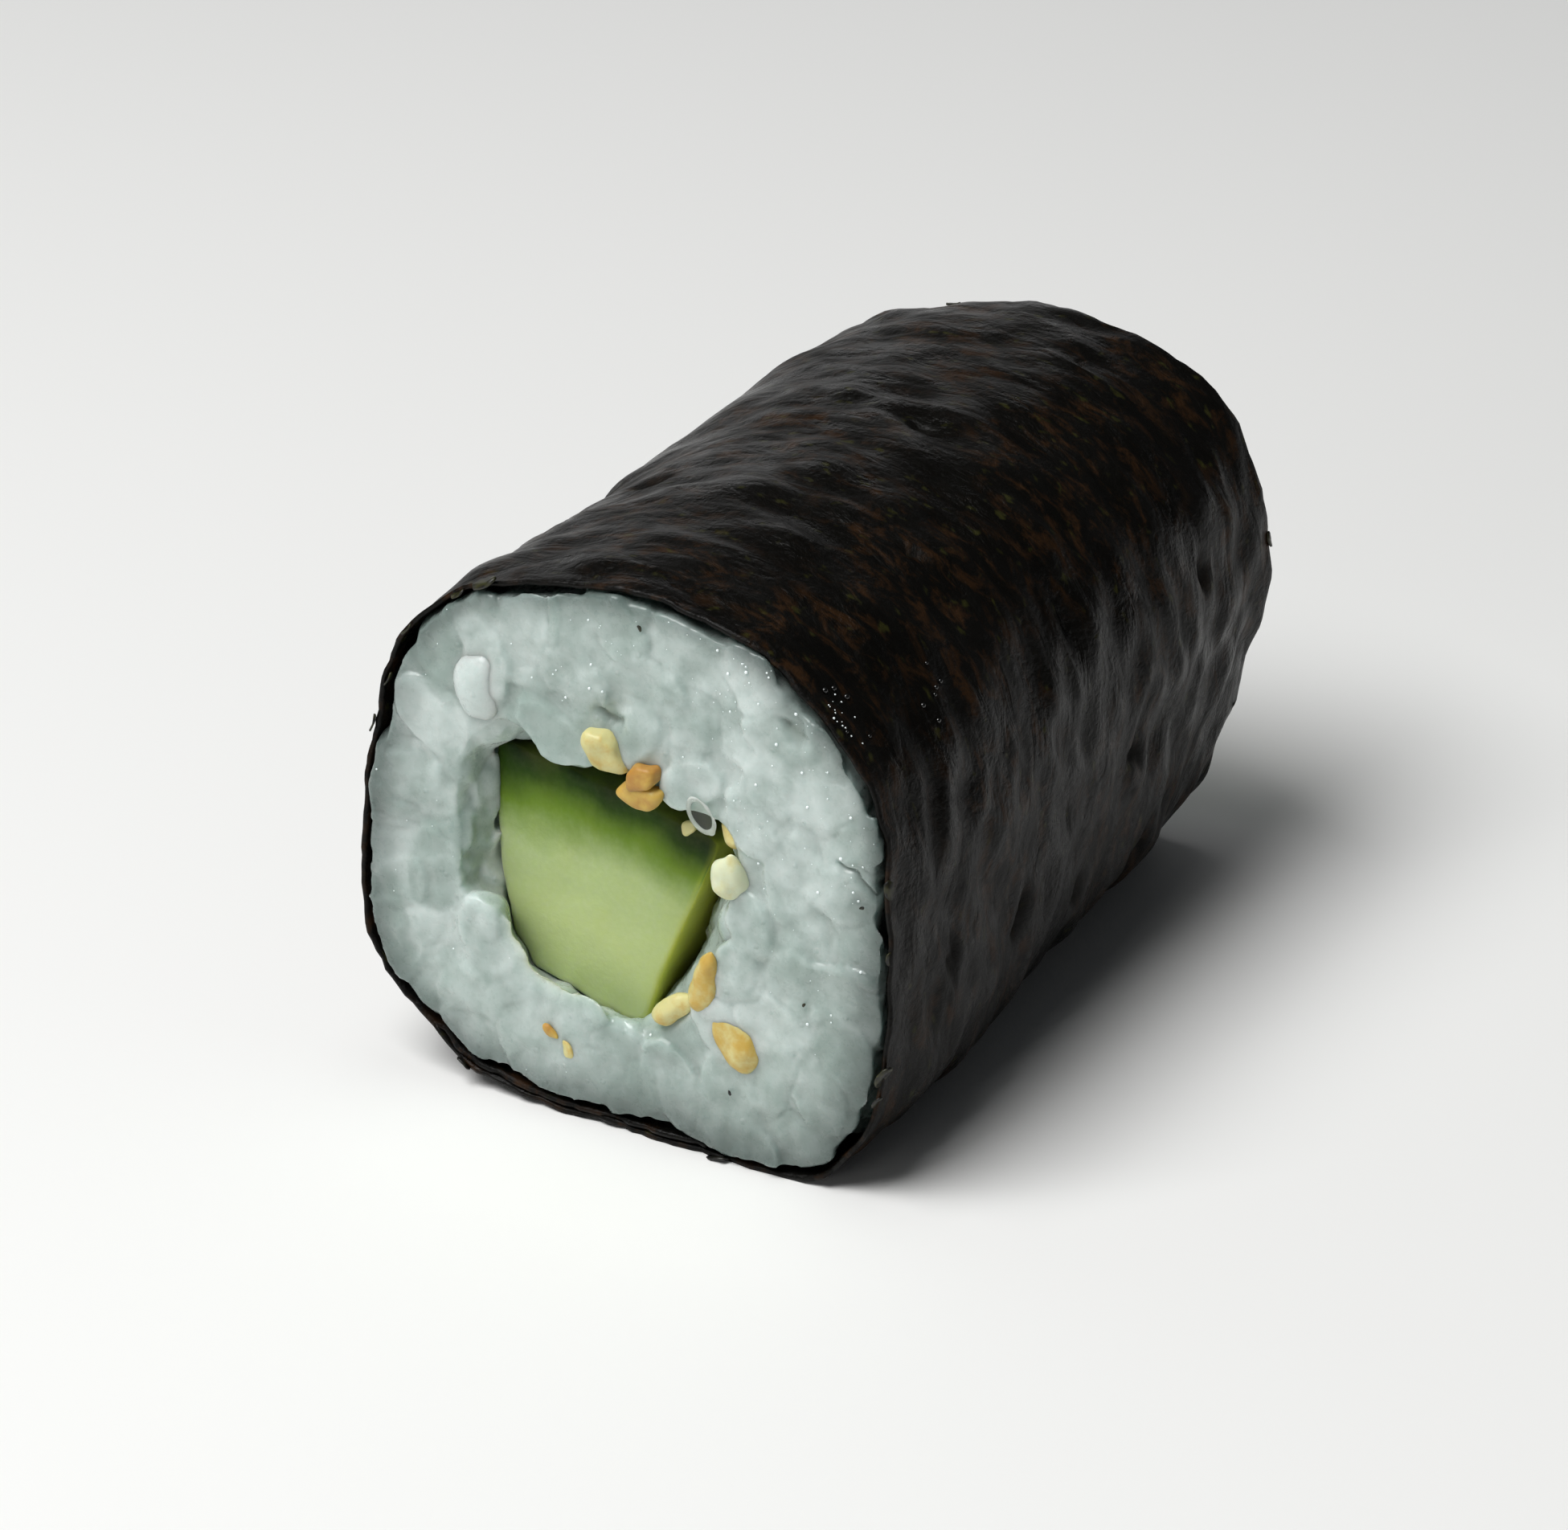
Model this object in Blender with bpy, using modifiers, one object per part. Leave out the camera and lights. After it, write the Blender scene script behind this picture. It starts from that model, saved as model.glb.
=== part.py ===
"""A cut piece of cucumber maki roll at its real size, in metres, +Z up.

The roll lies along Y on a flat strip of its underside, with its near cut end
towards -Y. A sheet of nori goes once round and laps over itself underneath,
rice fills it, and a stick of cucumber runs through an uneven hole in the rice.
Angles are in degrees round the section centre, from +X towards +Z.
"""

import math

import bmesh
import bpy
from mathutils import Vector, noise

# The whole roll: a near and a far section, with a lobed outline blended between them.
ROLL_LENGTH = 0.0384
NEAR_CENTRE = (0.00005, 0.01297)
NEAR_RADIUS = 0.01446
NEAR_LOBES = ((2, -72, 0.010), (3, -43, 0.028), (4, 39, 0.047), (5, 6, 0.015))
FAR_CENTRE = (0.00040, 0.01340)
FAR_RADIUS = 0.01435
FAR_LOBES = ((2, 55, 0.015), (3, 50, 0.047), (4, 40, 0.018), (5, 24, 0.008))
BELLY = 0.022

# Soft swells and dents of the wrap: angle, distance from the near end, height, spread in degrees, spread along.
SWELLS = (
    (119, 0.0325, 0.00075, 21, 0.0070),
    (126, 0.0160, -0.00055, 20, 0.0060),
    (320, 0.0060, 0.00100, 20, 0.0095),
    (338, ROLL_LENGTH, -0.00045, 22, 0.0080),
    (161, 0.0, -0.00040, 9, 0.0030),
    (205, 0.0, 0.00020, 9, 0.0030),
)

# The nori sheet: it starts inside, underneath, goes once round clockwise and laps over its own start.
NORI_THICKNESS = 0.00035
NORI_START = 288
NORI_LAP = 60
NORI_RAMP = 38
NORI_STEPS = 84
GAP = 0.0003

# The mouth of the hole in the rice and the stick in it, as corners in millimetres (x, z).
MOUTH_CORNERS = (
    (-6.9, 17.6),
    (-6.2, 19.3),
    (-1.1, 18.3),
    (2.6, 17.4),
    (5.3, 16.7),
    (6.4, 14.5),
    (4.9, 10.8),
    (3.4, 7.4),
    (1.1, 5.3),
    (-5.1, 6.9),
    (-6.2, 9.4),
    (-8.3, 9.8),
    (-8.5, 12.0),
    (-6.5, 12.6),
)
MOUTH_DEPTH = 0.0042
LIP_DEPTH = 0.0012
STICK_CORNERS = ((4.4, 15.1), (0.2, 4.9), (-5.9, 6.3), (-7.1, 10.8), (-7.3, 17.2))
STICK_CLEARANCE = 0.0004
SKIN_RISE = 0.0005
SKIN_STEPS = 6
STICK_NEAR_RECESS = 0.0018
STICK_FAR_RECESS = 0.0016
STICK_EDGE = 0.0003

# The rice: a grid round the section and along a closed loop of its four sides.
RICE_PROUD = 0.0002
RICE_EDGE = 0.0005
RICE_RELIEF = 0.0005
RICE_LUMP = 0.0026
RICE_ROUND_STEPS = 80
RICE_ACROSS = (0.05, 0.20, 0.36, 0.52, 0.68, 0.82, 0.94)
HOLE_DEPTHS = (0.04, 0.3, 0.65, 1.0, 2.6)

LENGTH_STEPS = 8
MM = 0.001
NEAR_END = -ROLL_LENGTH / 2
FAR_END = ROLL_LENGTH / 2


def clear_scene():
    for thing in list(bpy.data.objects):
        bpy.data.objects.remove(thing)


def blend(near, far, y):
    share = (y - NEAR_END) / ROLL_LENGTH
    return near + (far - near) * share


def section_centre(y):
    x = blend(NEAR_CENTRE[0], FAR_CENTRE[0], y)
    z = blend(NEAR_CENTRE[1], FAR_CENTRE[1], y)
    return x, z


def lobed(radius, lobes, angle):
    waves = (height * math.cos(count * math.radians(angle - peak)) for count, peak, height in lobes)
    return radius * (1 + sum(waves))


def swell(angle, y):
    total = 0.0
    for peak, along, height, spread, reach in SWELLS:
        turned = (angle - peak + 180) % 360 - 180
        offset = y - NEAR_END - along
        total += height * math.exp(-((turned / spread) ** 2) - (offset / reach) ** 2)
    return total


def outline(angle, y):
    """Distance from the section centre to the nori's outer face, flat where the roll rests."""
    share = (y - NEAR_END) / ROLL_LENGTH
    reach = blend(lobed(NEAR_RADIUS, NEAR_LOBES, angle), lobed(FAR_RADIUS, FAR_LOBES, angle), y)
    reach = reach * (1 + BELLY * 4 * share * (1 - share)) + swell(angle, y)
    fall = -math.sin(math.radians(angle))
    if fall > 0:
        reach = min(reach, section_centre(y)[1] / fall)
    return reach


def on_section(angle, y, reach):
    x, z = section_centre(y)
    turn = math.radians(angle)
    return Vector((x + reach * math.cos(turn), y, z + reach * math.sin(turn)))


def eased(share):
    """Falls smoothly from 1 to 0 as the share goes from 0 to 1."""
    return (1 + math.cos(math.pi * min(share, 1))) / 2


def tucked_under(angle):
    """How far the first stretch of the sheet lies inside the outline, where the lap covers it."""
    past_start = (NORI_START - angle) % 360
    full = NORI_THICKNESS + GAP
    if past_start <= NORI_LAP:
        return full
    return full * eased((past_start - NORI_LAP) / NORI_RAMP)


def finish(mesh_object, collection, material):
    collection.objects.link(mesh_object)
    mesh_object.data.materials.append(material)
    mesh_object.data.shade_smooth()
    mesh_object.data.set_sharp_from_angle(angle=math.radians(40))


def object_from(name, cage):
    mesh = bpy.data.meshes.new(name)
    cage.to_mesh(mesh)
    cage.free()
    return bpy.data.objects.new(name, mesh)


def grid(columns, rows):
    """A flat unit grid whose corners run from 0 to 1 each way."""
    cage = bmesh.new()
    bmesh.ops.create_grid(cage, x_segments=columns, y_segments=rows, size=0.5)
    for corner in cage.verts:
        corner.co += Vector((0.5, 0.5, 0))
    return cage


def nori():
    """The sheet, rolled by the function of its own length and given its thickness inwards."""
    cage = grid(NORI_STEPS, LENGTH_STEPS)
    for corner in cage.verts:
        turned = corner.co.x * (360 + NORI_LAP)
        y = NEAR_END + corner.co.y * ROLL_LENGTH
        angle = NORI_START - turned
        inside = tucked_under(angle) if turned < 180 else 0
        corner.co = on_section(angle, y, outline(angle, y) - inside)
    sheet = object_from("nori", cage)
    wall = sheet.modifiers.new("thickness", "SOLIDIFY")
    wall.thickness = NORI_THICKNESS
    wall.offset = -1
    return sheet


def stick_outline():
    """The stick's section: cut sides below, and a skin that swells a little between its top corners."""
    corners = [Vector(corner) * MM for corner in STICK_CORNERS]
    right, left = corners[0], corners[-1]
    outward = Vector((left.y - right.y, right.x - left.x)).normalized()
    for step in range(1, SKIN_STEPS):
        share = step / SKIN_STEPS
        corners.append(left.lerp(right, share) + outward * SKIN_RISE * math.sin(math.pi * share))
    return corners


def reach_to(corners, angle, y):
    """Distance from the section centre to a closed outline of corners, along a ray at that angle."""
    centre = Vector(section_centre(y))
    turn = math.radians(angle)
    ray = Vector((math.cos(turn), math.sin(turn)))
    for start, end in zip(corners, corners[1:] + corners[:1]):
        first = start - centre
        side = end - start
        cross = ray.x * side.y - ray.y * side.x
        along = (first.x * ray.y - first.y * ray.x) / cross
        reach = (first.x * side.y - first.y * side.x) / cross
        if 0 <= along <= 1 and reach > 0:
            return reach
    raise ValueError(f"the outline has no side at {angle} degrees")


def hole_reach(angle, y):
    """Past each mouth the hole closes on the stick, and a lip of rice that hangs before the stick's end opens."""
    mouth = reach_to([Vector(corner) * MM for corner in MOUTH_CORNERS], angle, y)
    snug = reach_to(stick_outline(), angle, y) + STICK_CLEARANCE
    depth = FAR_END - abs(y)
    kept = eased(depth / (MOUTH_DEPTH if mouth > snug else LIP_DEPTH))
    return snug + (mouth - snug) * kept


def lump(place):
    return RICE_RELIEF * noise.noise(place / RICE_LUMP)


def rice_loop():
    """The rice's profile, as (share of the way from hole to nori, y), once round all four sides."""
    length = ROLL_LENGTH - 2 * RICE_EDGE
    along = [NEAR_END + RICE_EDGE + length * step / LENGTH_STEPS for step in range(LENGTH_STEPS + 1)]
    depths = [NEAR_END + MOUTH_DEPTH * depth for depth in HOLE_DEPTHS]
    outer_side = [(1, y) for y in along]
    far_face = [(share, FAR_END + RICE_PROUD) for share in reversed(RICE_ACROSS)]
    hole_side = [(0, -y) for y in depths] + [(0, y) for y in reversed(depths)]
    near_face = [(share, NEAR_END - RICE_PROUD) for share in RICE_ACROSS]
    return outer_side + far_face + hole_side + near_face


def rice():
    """One mass of rice out to its uneven outline, open along the middle where the stick goes."""
    loop = rice_loop()
    cage = grid(RICE_ROUND_STEPS, len(loop))
    for corner in cage.verts:
        angle = round(corner.co.x * RICE_ROUND_STEPS) % RICE_ROUND_STEPS * 360 / RICE_ROUND_STEPS
        share, y = loop[round(corner.co.y * len(loop)) % len(loop)]
        outer = outline(angle, y) - tucked_under(angle) - NORI_THICKNESS - GAP
        hole = hole_reach(angle, y)
        place = on_section(angle, y, hole + (outer - hole) * share)
        if 0 < share < 1:
            place.y += lump(place)
        elif share == 0:
            place += (place - on_section(angle, y, 0)).normalized() * abs(lump(place))
        corner.co = place
    bmesh.ops.remove_doubles(cage, verts=cage.verts, dist=MM / 100)
    bmesh.ops.recalc_face_normals(cage, faces=cage.faces)
    return object_from("rice", cage)


def cucumber():
    """The stick, an extruded flat outline stood on its side so that it runs along Y."""
    shape = bpy.data.curves.new("stick outline", "CURVE")
    shape.dimensions = "2D"
    shape.fill_mode = "BOTH"
    shape.extrude = (ROLL_LENGTH - STICK_NEAR_RECESS - STICK_FAR_RECESS) / 2
    spline = shape.splines.new("POLY")
    corners = stick_outline()
    spline.points.add(len(corners) - 1)
    spline.use_cyclic_u = True
    for point, corner in zip(spline.points, corners):
        point.co = (corner.x, corner.y, 0, 1)
    stick = bpy.data.objects.new("cucumber", shape)
    stick.rotation_euler.x = math.radians(90)
    stick.location.y = (STICK_NEAR_RECESS - STICK_FAR_RECESS) / 2
    weld = stick.modifiers.new("caps", "WELD")
    weld.merge_threshold = MM / 100
    edges = stick.modifiers.new("edges", "BEVEL")
    edges.width = STICK_EDGE
    edges.segments = 1
    edges.limit_method = "ANGLE"
    edges.angle_limit = math.radians(25)
    return stick


def material(name, colour, roughness):
    made = bpy.data.materials.new(name)
    made.use_nodes = True
    shader = made.node_tree.nodes["Principled BSDF"]
    shader.inputs["Base Color"].default_value = (*colour, 1)
    shader.inputs["Roughness"].default_value = roughness
    shader.inputs["Metallic"].default_value = 0
    return made


def main():
    clear_scene()
    roll = bpy.data.collections.new("cucumber maki roll")
    bpy.context.scene.collection.children.link(roll)
    finish(nori(), roll, material("toasted nori", (0.010, 0.013, 0.011), 0.4))
    finish(rice(), roll, material("cooked rice", (0.47, 0.56, 0.53), 0.35))
    stick = cucumber()
    roll.objects.link(stick)
    stick.data.materials.append(material("cucumber flesh", (0.36, 0.47, 0.18), 0.4))


if __name__ == "__main__":
    main()
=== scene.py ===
"""Looks of a cut piece of cucumber maki roll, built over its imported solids, in metres, +Z up.

The roll lies along Y with its near cut end towards -Y. Angles are in degrees
round the middle of a section, from +X towards +Z. Sizes and places are read
from the solids by rays square to the roll, and the small things are set round
the mouth of the hole in the rice by their angle and their depth.
"""

import math
import random

import bmesh
import bpy
import numpy as np
from bpy.props import FloatProperty, FloatVectorProperty, PointerProperty
from mathutils import Euler, Matrix, Vector, noise
from mathutils.bvhtree import BVHTree


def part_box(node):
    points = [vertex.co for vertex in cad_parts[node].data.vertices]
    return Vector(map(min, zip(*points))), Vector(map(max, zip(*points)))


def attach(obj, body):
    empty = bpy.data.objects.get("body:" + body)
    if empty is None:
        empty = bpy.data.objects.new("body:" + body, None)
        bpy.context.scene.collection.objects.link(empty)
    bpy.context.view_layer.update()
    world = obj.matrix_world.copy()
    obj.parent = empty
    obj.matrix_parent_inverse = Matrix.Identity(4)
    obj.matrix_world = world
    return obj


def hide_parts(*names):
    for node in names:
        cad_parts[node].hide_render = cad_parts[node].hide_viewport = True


bl_info = {
    "name": "Cucumber maki roll",
    "version": (1, 0, 0),
    "blender": (4, 5, 0),
    "location": "View3D > Sidebar > Maki",
    "description": "Builds nori, rice, cucumber and sesame over the solids of a maki roll",
    "category": "Add Mesh",
}

MM = 0.001

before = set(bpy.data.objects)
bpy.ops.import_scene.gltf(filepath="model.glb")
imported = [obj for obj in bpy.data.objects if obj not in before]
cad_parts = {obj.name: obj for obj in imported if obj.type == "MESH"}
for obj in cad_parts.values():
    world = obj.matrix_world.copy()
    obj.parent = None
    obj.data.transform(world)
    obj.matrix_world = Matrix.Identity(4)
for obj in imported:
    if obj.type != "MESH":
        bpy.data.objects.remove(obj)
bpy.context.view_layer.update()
NORI_LOW, NORI_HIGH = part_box("nori")
STICK_LOW, STICK_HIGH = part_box("cucumber")
NEAR_END = NORI_LOW.y
FAR_END = NORI_HIGH.y
ROLL_CENTRE = Vector(((NORI_LOW.x + NORI_HIGH.x) / 2, 0, (NORI_LOW.z + NORI_HIGH.z) / 2))
STICK_CENTRE = Vector(((STICK_LOW.x + STICK_HIGH.x) / 2, 0, (STICK_LOW.z + STICK_HIGH.z) / 2))

# The sheet of nori, from its hidden start to its free edge, in degrees round the roll.
SHEET_START = 288
SHEET_TURN = 420
LAP = 60
SHEET_COLUMNS = 230
SHEET_ROWS = 170
READ_COLUMNS = 421
READ_ROWS = 97
# How far the hidden start lies under the free edge, and how deep a hollow in the sheet goes.
LAP_STEP = 0.42 * MM
PIT_DEPTH = 0.34 * MM
# The roll's mean radius in millimetres, for measures along the sheet.
ROLL_RADIUS = 14.2

# How many angles a wall is read at, and how far from the middle a ray inwards starts, for walls and droplets.
WALL_COLUMNS = 360
OUTSIDE = 0.04
DROP_START = 0.03

# Grains of cooked rice in millimetres, and how deep the grains at each end go.
GRAIN_LENGTH = 5.2
GRAIN_WIDTH = 2.8
GRAIN_THICKNESS = 2.4
END_DEPTH = 5.0
# How far the knife's cut stands past the rim of the nori.
PROUD = 0.2 * MM
# Grains set in turn round the mouth of the hole, how near two grains' middles come there and elsewhere, how
# many places are tried for grains, and how many grains there are at most.
MOUTH_GRAINS = 17
MOUTH_APART = 1.9 * MM
APART = 2.3 * MM
GRAIN_TRIES = 9000
MOST_GRAINS = 200
# How far the hole closes on the stick behind its mouth, and how deep the mouth is in millimetres.
RICE_TO_STICK = 0.36 * MM
MOUTH_DEPTH = 1.8
# How the cut stick fills out past its drawn section: angle round it, millimetres outwards.
STICK_SWELL = (
    (0, 0.0), (118, 0.0), (133, 0.55), (146, 0.85), (165, 0.65), (182, 0.60), (200, 0.70), (213, 0.90),
    (222, 0.45), (234, 0.35), (250, 0.45), (265, 0.70), (277, 0.90), (286, 0.35), (300, 0.05), (360, 0.0),
)
# How far the rice at the near mouth draws back from the stick: angle round the stick, millimetres.
NEAR_HOLLOW = (
    (0, 0.0), (122, 0.0), (130, 0.7), (138, 1.4), (146, 1.8), (155, 1.8), (162, 1.4), (170, 0.8), (178, 0.1),
    (186, -0.2), (194, -0.8), (202, -1.1), (214, -1.15), (228, -1.1), (242, -0.95), (256, -0.7), (278, -0.6),
    (292, -0.4), (302, 0.0), (360, 0.0),
)


def linear(hex_colour):
    """The linear RGB of an sRGB hex value such as 'b4c3be'."""
    values = []
    for place in (0, 2, 4):
        share = int(hex_colour[place:place + 2], 16) / 255
        values.append(share / 12.92 if share <= 0.04045 else ((share + 0.055) / 1.055) ** 2.4)
    return values


# ---------------------------------------------------------------- reading the solids


def tree_of(mesh_object):
    """A search tree of a mesh, for rays to meet."""
    shape = bmesh.new()
    shape.from_mesh(mesh_object.data)
    tree = BVHTree.FromBMesh(shape)
    shape.free()
    return tree


TREES = {node: tree_of(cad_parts[node]) for node in ("nori", "rice", "cucumber")}


def ray_at(angle):
    """The direction outwards from the middle of a section."""
    turn = math.radians(angle)
    return Vector((math.cos(turn), 0, math.sin(turn)))


def spot_at(centre, angle, away, y):
    """The place in a section at that angle and distance from a middle."""
    turn = math.radians(angle)
    return Vector((centre.x + away * math.cos(turn), y, centre.z + away * math.sin(turn)))


def outer_reach(node, centre, angle, y):
    """Distance from the centre line to the outermost wall of a solid at that angle."""
    ray = ray_at(angle)
    middle = Vector((centre.x, y, centre.z))
    hit = TREES[node].ray_cast(middle + ray * OUTSIDE, -ray)[0]
    return (hit - middle).length


def inner_reach(node, centre, angle, y):
    """Distance from the centre line to the first wall of a solid met on the way out."""
    middle = Vector((centre.x, y, centre.z))
    hit = TREES[node].ray_cast(middle, ray_at(angle))[0]
    return (hit - middle).length


def blurred(table, sigma, axis, wraps=False):
    """The table smoothed along one axis, so that the flats of a faceted solid turn into curves."""
    reach = int(math.ceil(3 * sigma))
    weights = np.exp(-0.5 * (np.arange(-reach, reach + 1) / sigma) ** 2)
    weights /= weights.sum()
    table = np.moveaxis(table, axis, 0)
    if wraps:
        padded = np.concatenate([table[-reach:], table, table[:reach]])
    else:
        before = 2 * table[:1] - table[1:reach + 1][::-1]
        after = 2 * table[-1:] - table[-reach - 1:-1][::-1]
        padded = np.concatenate([before, table, after])
    rows = len(table)
    smooth = sum(weight * padded[place:place + rows] for place, weight in enumerate(weights))
    return np.moveaxis(smooth, 0, axis)


def looked_up(table, across, along):
    """Bilinear reading of a table at arrays of fractional places."""
    columns, rows = table.shape
    across = np.clip(across, 0, columns - 1.001)
    along = np.clip(along, 0, rows - 1.001)
    left = across.astype(int)
    low = along.astype(int)
    right_share = across - left
    high_share = along - low
    near = table[left, low] * (1 - right_share) + table[left + 1, low] * right_share
    far = table[left, low + 1] * (1 - right_share) + table[left + 1, low + 1] * right_share
    return near * (1 - high_share) + far * high_share


class WallTable:
    """A smooth reading of one wall of a solid: its reach by angle and by place along the roll."""

    def __init__(self, reader, node, centre, near, far, angle_sigma, along_sigma, rows):
        self.near = near
        self.far = far
        self.rows = rows
        inset = (far - near) * 0.002
        along = np.linspace(near + inset, far - inset, rows)
        values = np.array([
            [reader(node, centre, 360 * column / WALL_COLUMNS, y) for y in along]
            for column in range(WALL_COLUMNS)
        ])
        values = blurred(values, angle_sigma, 0, wraps=True)
        values = blurred(values, along_sigma, 1)
        self.table = np.concatenate([values, values[:1]])

    def at(self, angle, y):
        across = (np.asarray(angle) % 360) / 360 * WALL_COLUMNS
        along = (np.asarray(y) - self.near) / (self.far - self.near) * (self.rows - 1)
        return looked_up(self.table, across, along)


def wander(table, angle):
    """Reads a table of angles and millimetres, in metres."""
    angles, amounts = zip(*table)
    return np.interp(np.asarray(angle) % 360, angles, amounts) * MM


def sheet_inside(name, centre, angle, y):
    """Distance from the centre line to the inner face of the rolled sheet; past its rim, that of the rim."""
    ray = ray_at(angle)
    toward_middle = 1 if y < 0 else -1
    for step in range(12):
        middle = Vector((centre.x, y + toward_middle * step * 0.12 * MM, centre.z))
        hit = TREES[name].ray_cast(middle, ray)[0]
        if hit is not None:
            return (hit - middle).length
    raise ValueError("the rolled sheet has a hole in it")


def angle_of(points, centre):
    return np.degrees(np.arctan2(points[:, 2] - centre.z, points[:, 0] - centre.x)) % 360


def reach_of(points, centre):
    return np.hypot(points[:, 0] - centre.x, points[:, 2] - centre.z)


def turn_between(angle, other):
    """Degrees between two directions round the roll, from 0 to 180."""
    return np.abs((angle - other + 180) % 360 - 180)


def near_angle(angle, middle, peak, fade, least=0.0):
    """The peak at a middle angle, less 1 for every fade degrees away from it, kept between least and 1."""
    return np.clip(peak - turn_between(angle, middle) / fade, least, 1)


# ---------------------------------------------------------------- meshes


def points_of(mesh_object):
    flat = np.zeros(len(mesh_object.data.vertices) * 3)
    mesh_object.data.vertices.foreach_get("co", flat)
    return flat.reshape(-1, 3)


def set_points(mesh_object, points):
    mesh_object.data.vertices.foreach_set("co", np.asarray(points, float).ravel())
    mesh_object.data.update()


def normals_of(mesh_object):
    flat = np.zeros(len(mesh_object.data.vertices) * 3, np.float32)
    mesh_object.data.vertex_normals.foreach_get("vector", flat)
    return flat.reshape(-1, 3).astype(float)


def write_attribute(mesh_object, name, values):
    made = mesh_object.data.attributes.new(name, "FLOAT", "POINT")
    made.data.foreach_set("value", np.asarray(values, np.float32))


def read_attribute(mesh_object, name):
    values = np.zeros(len(mesh_object.data.vertices), np.float32)
    mesh_object.data.attributes[name].data.foreach_get("value", values)
    return values


def noise_at(points, scale, seed=0.0):
    """Smooth noise from -1 to 1 at each point, with lumps of about that size."""
    shift = Vector((seed * 7.31, seed * 3.17, seed * 5.71))
    return np.array([noise.noise(Vector(point) / scale + shift) for point in points])


def roughen(mesh_object, *waves, stretch=(1, 1, 1)):
    """Moves the surface in and out by waves of noise: size in millimetres, seed, height in millimetres."""
    points = points_of(mesh_object)
    lumps = 0
    for size, seed, height in waves:
        lumps = lumps + noise_at(points * stretch, size * MM, seed) * height * MM
    set_points(mesh_object, points + normals_of(mesh_object) * lumps[:, None])


def mark_rice(mesh_object, tone, seam=0.0, rim=0.0):
    """Writes what the rice's material reads: tone from glassy to chalky, seams, and the rim weight beside the
    nori, which greys the rice as nori showing through and as painted shade.
    """
    count = len(mesh_object.data.vertices)
    for name, values in (("grain_tone", tone), ("seam", seam), ("rim", rim)):
        write_attribute(mesh_object, name, np.full(count, values, float))


def deselect():
    bpy.ops.object.select_all(action="DESELECT")


def take(name):
    """Names the object just added by an operator and returns it."""
    made = bpy.context.view_layer.objects.active
    made.name = name
    made.data.name = name
    return made


def activate(mesh_object):
    deselect()
    mesh_object.select_set(True)
    bpy.context.view_layer.objects.active = mesh_object


def apply_modifier(mesh_object, kind, **settings):
    """Adds a modifier with its settings and applies it."""
    activate(mesh_object)
    made = mesh_object.modifiers.new(kind.lower(), kind)
    for name, value in settings.items():
        setattr(made, name, value)
    bpy.ops.object.modifier_apply(modifier=made.name)


def merge_and_face_out(mesh_object, distance=MM / 100):
    activate(mesh_object)
    bpy.ops.object.mode_set(mode="EDIT")
    bpy.ops.mesh.select_all(action="SELECT")
    bpy.ops.mesh.remove_doubles(threshold=distance)
    bpy.ops.mesh.normals_make_consistent(inside=False)
    bpy.ops.object.mode_set(mode="OBJECT")


def settle(mesh_object, material, replaced=()):
    """Gives a finished piece its material and its place in the frame."""
    mesh_object.data.materials.clear()
    mesh_object.data.materials.append(material)
    activate(mesh_object)
    bpy.ops.object.shade_smooth()
    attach(mesh_object, "root")
    if replaced:
        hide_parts(*replaced)
    deselect()


def added_grid(name, columns, rows):
    """A flat unit grid, added in the middle and moved so that it runs from 0 to 1 each way."""
    deselect()
    bpy.ops.mesh.primitive_grid_add(x_subdivisions=columns, y_subdivisions=rows, size=1, location=(0, 0, 0))
    sheet = take(name)
    set_points(sheet, points_of(sheet) + [0.5, 0.5, 0])
    return sheet


def joined(name, pieces):
    deselect()
    for piece in pieces:
        piece.select_set(True)
    bpy.context.view_layer.objects.active = pieces[0]
    bpy.ops.object.join()
    return take(name)


def many_copies(name, template, placings):
    """One mesh of copies of a template, each with its own matrix, made at once."""
    base = points_of(template)
    faces = [list(face.vertices) for face in template.data.polygons]
    points = []
    corners = []
    for placing in placings:
        turned = np.array(placing.to_3x3()) @ base.T
        start = len(points) * len(base)
        points.append(turned.T + np.array(placing.translation))
        corners.extend([corner + start for corner in face] for face in faces)
    mesh = bpy.data.meshes.new(name)
    mesh.from_pydata(np.concatenate(points).tolist(), [], corners)
    made = bpy.data.objects.new(name, mesh)
    bpy.context.scene.collection.objects.link(made)
    return made


# ---------------------------------------------------------------- materials


def add(tree, kind, inputs=None, **settings):
    """Adds a shader node with its settings; each input is a value or another node's socket."""
    made = tree.nodes.new("ShaderNode" + kind)
    for name, value in settings.items():
        setattr(made, name, value)
    for name, value in (inputs or {}).items():
        if isinstance(value, bpy.types.NodeSocket):
            tree.links.new(value, made.inputs[name])
        else:
            made.inputs[name].default_value = value
    return made


def new_material(name):
    made = bpy.data.materials.new(name)
    made.use_nodes = True
    made.node_tree.nodes.clear()
    return made, made.node_tree


def close_material(tree, inputs):
    """Ends a material with its shader, whose constant values are on the shader's own sockets."""
    shader = add(tree, "BsdfPrincipled", inputs)
    add(tree, "OutputMaterial", {"Surface": shader.outputs[0]})


def attribute(tree, name):
    return add(tree, "Attribute", attribute_name=name).outputs["Fac"]


def math_node(tree, operation, *values, clamp=False):
    inputs = dict(enumerate(values))
    return add(tree, "Math", inputs, operation=operation, use_clamp=clamp).outputs[0]


def mixed(tree, share, first, second):
    """A mix of two colours, each a value or a socket."""
    inputs = {}
    for place, value in ((0, share), (6, first), (7, second)):
        inputs[place] = value if isinstance(value, (bpy.types.NodeSocket, float, int)) else (*value, 1)
    return add(tree, "Mix", inputs, data_type="RGBA").outputs[2]


def ranged(tree, value, low, high, to_low=0.0, to_high=1.0):
    inputs = {"Value": value, "From Min": low, "From Max": high, "To Min": to_low, "To Max": to_high}
    return add(tree, "MapRange", inputs, interpolation_type="SMOOTHSTEP").outputs[0]


def per_mm(size):
    """The scale of a pattern on coordinates in metres whose lumps measure size millimetres."""
    return 1 / (size * MM)


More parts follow.
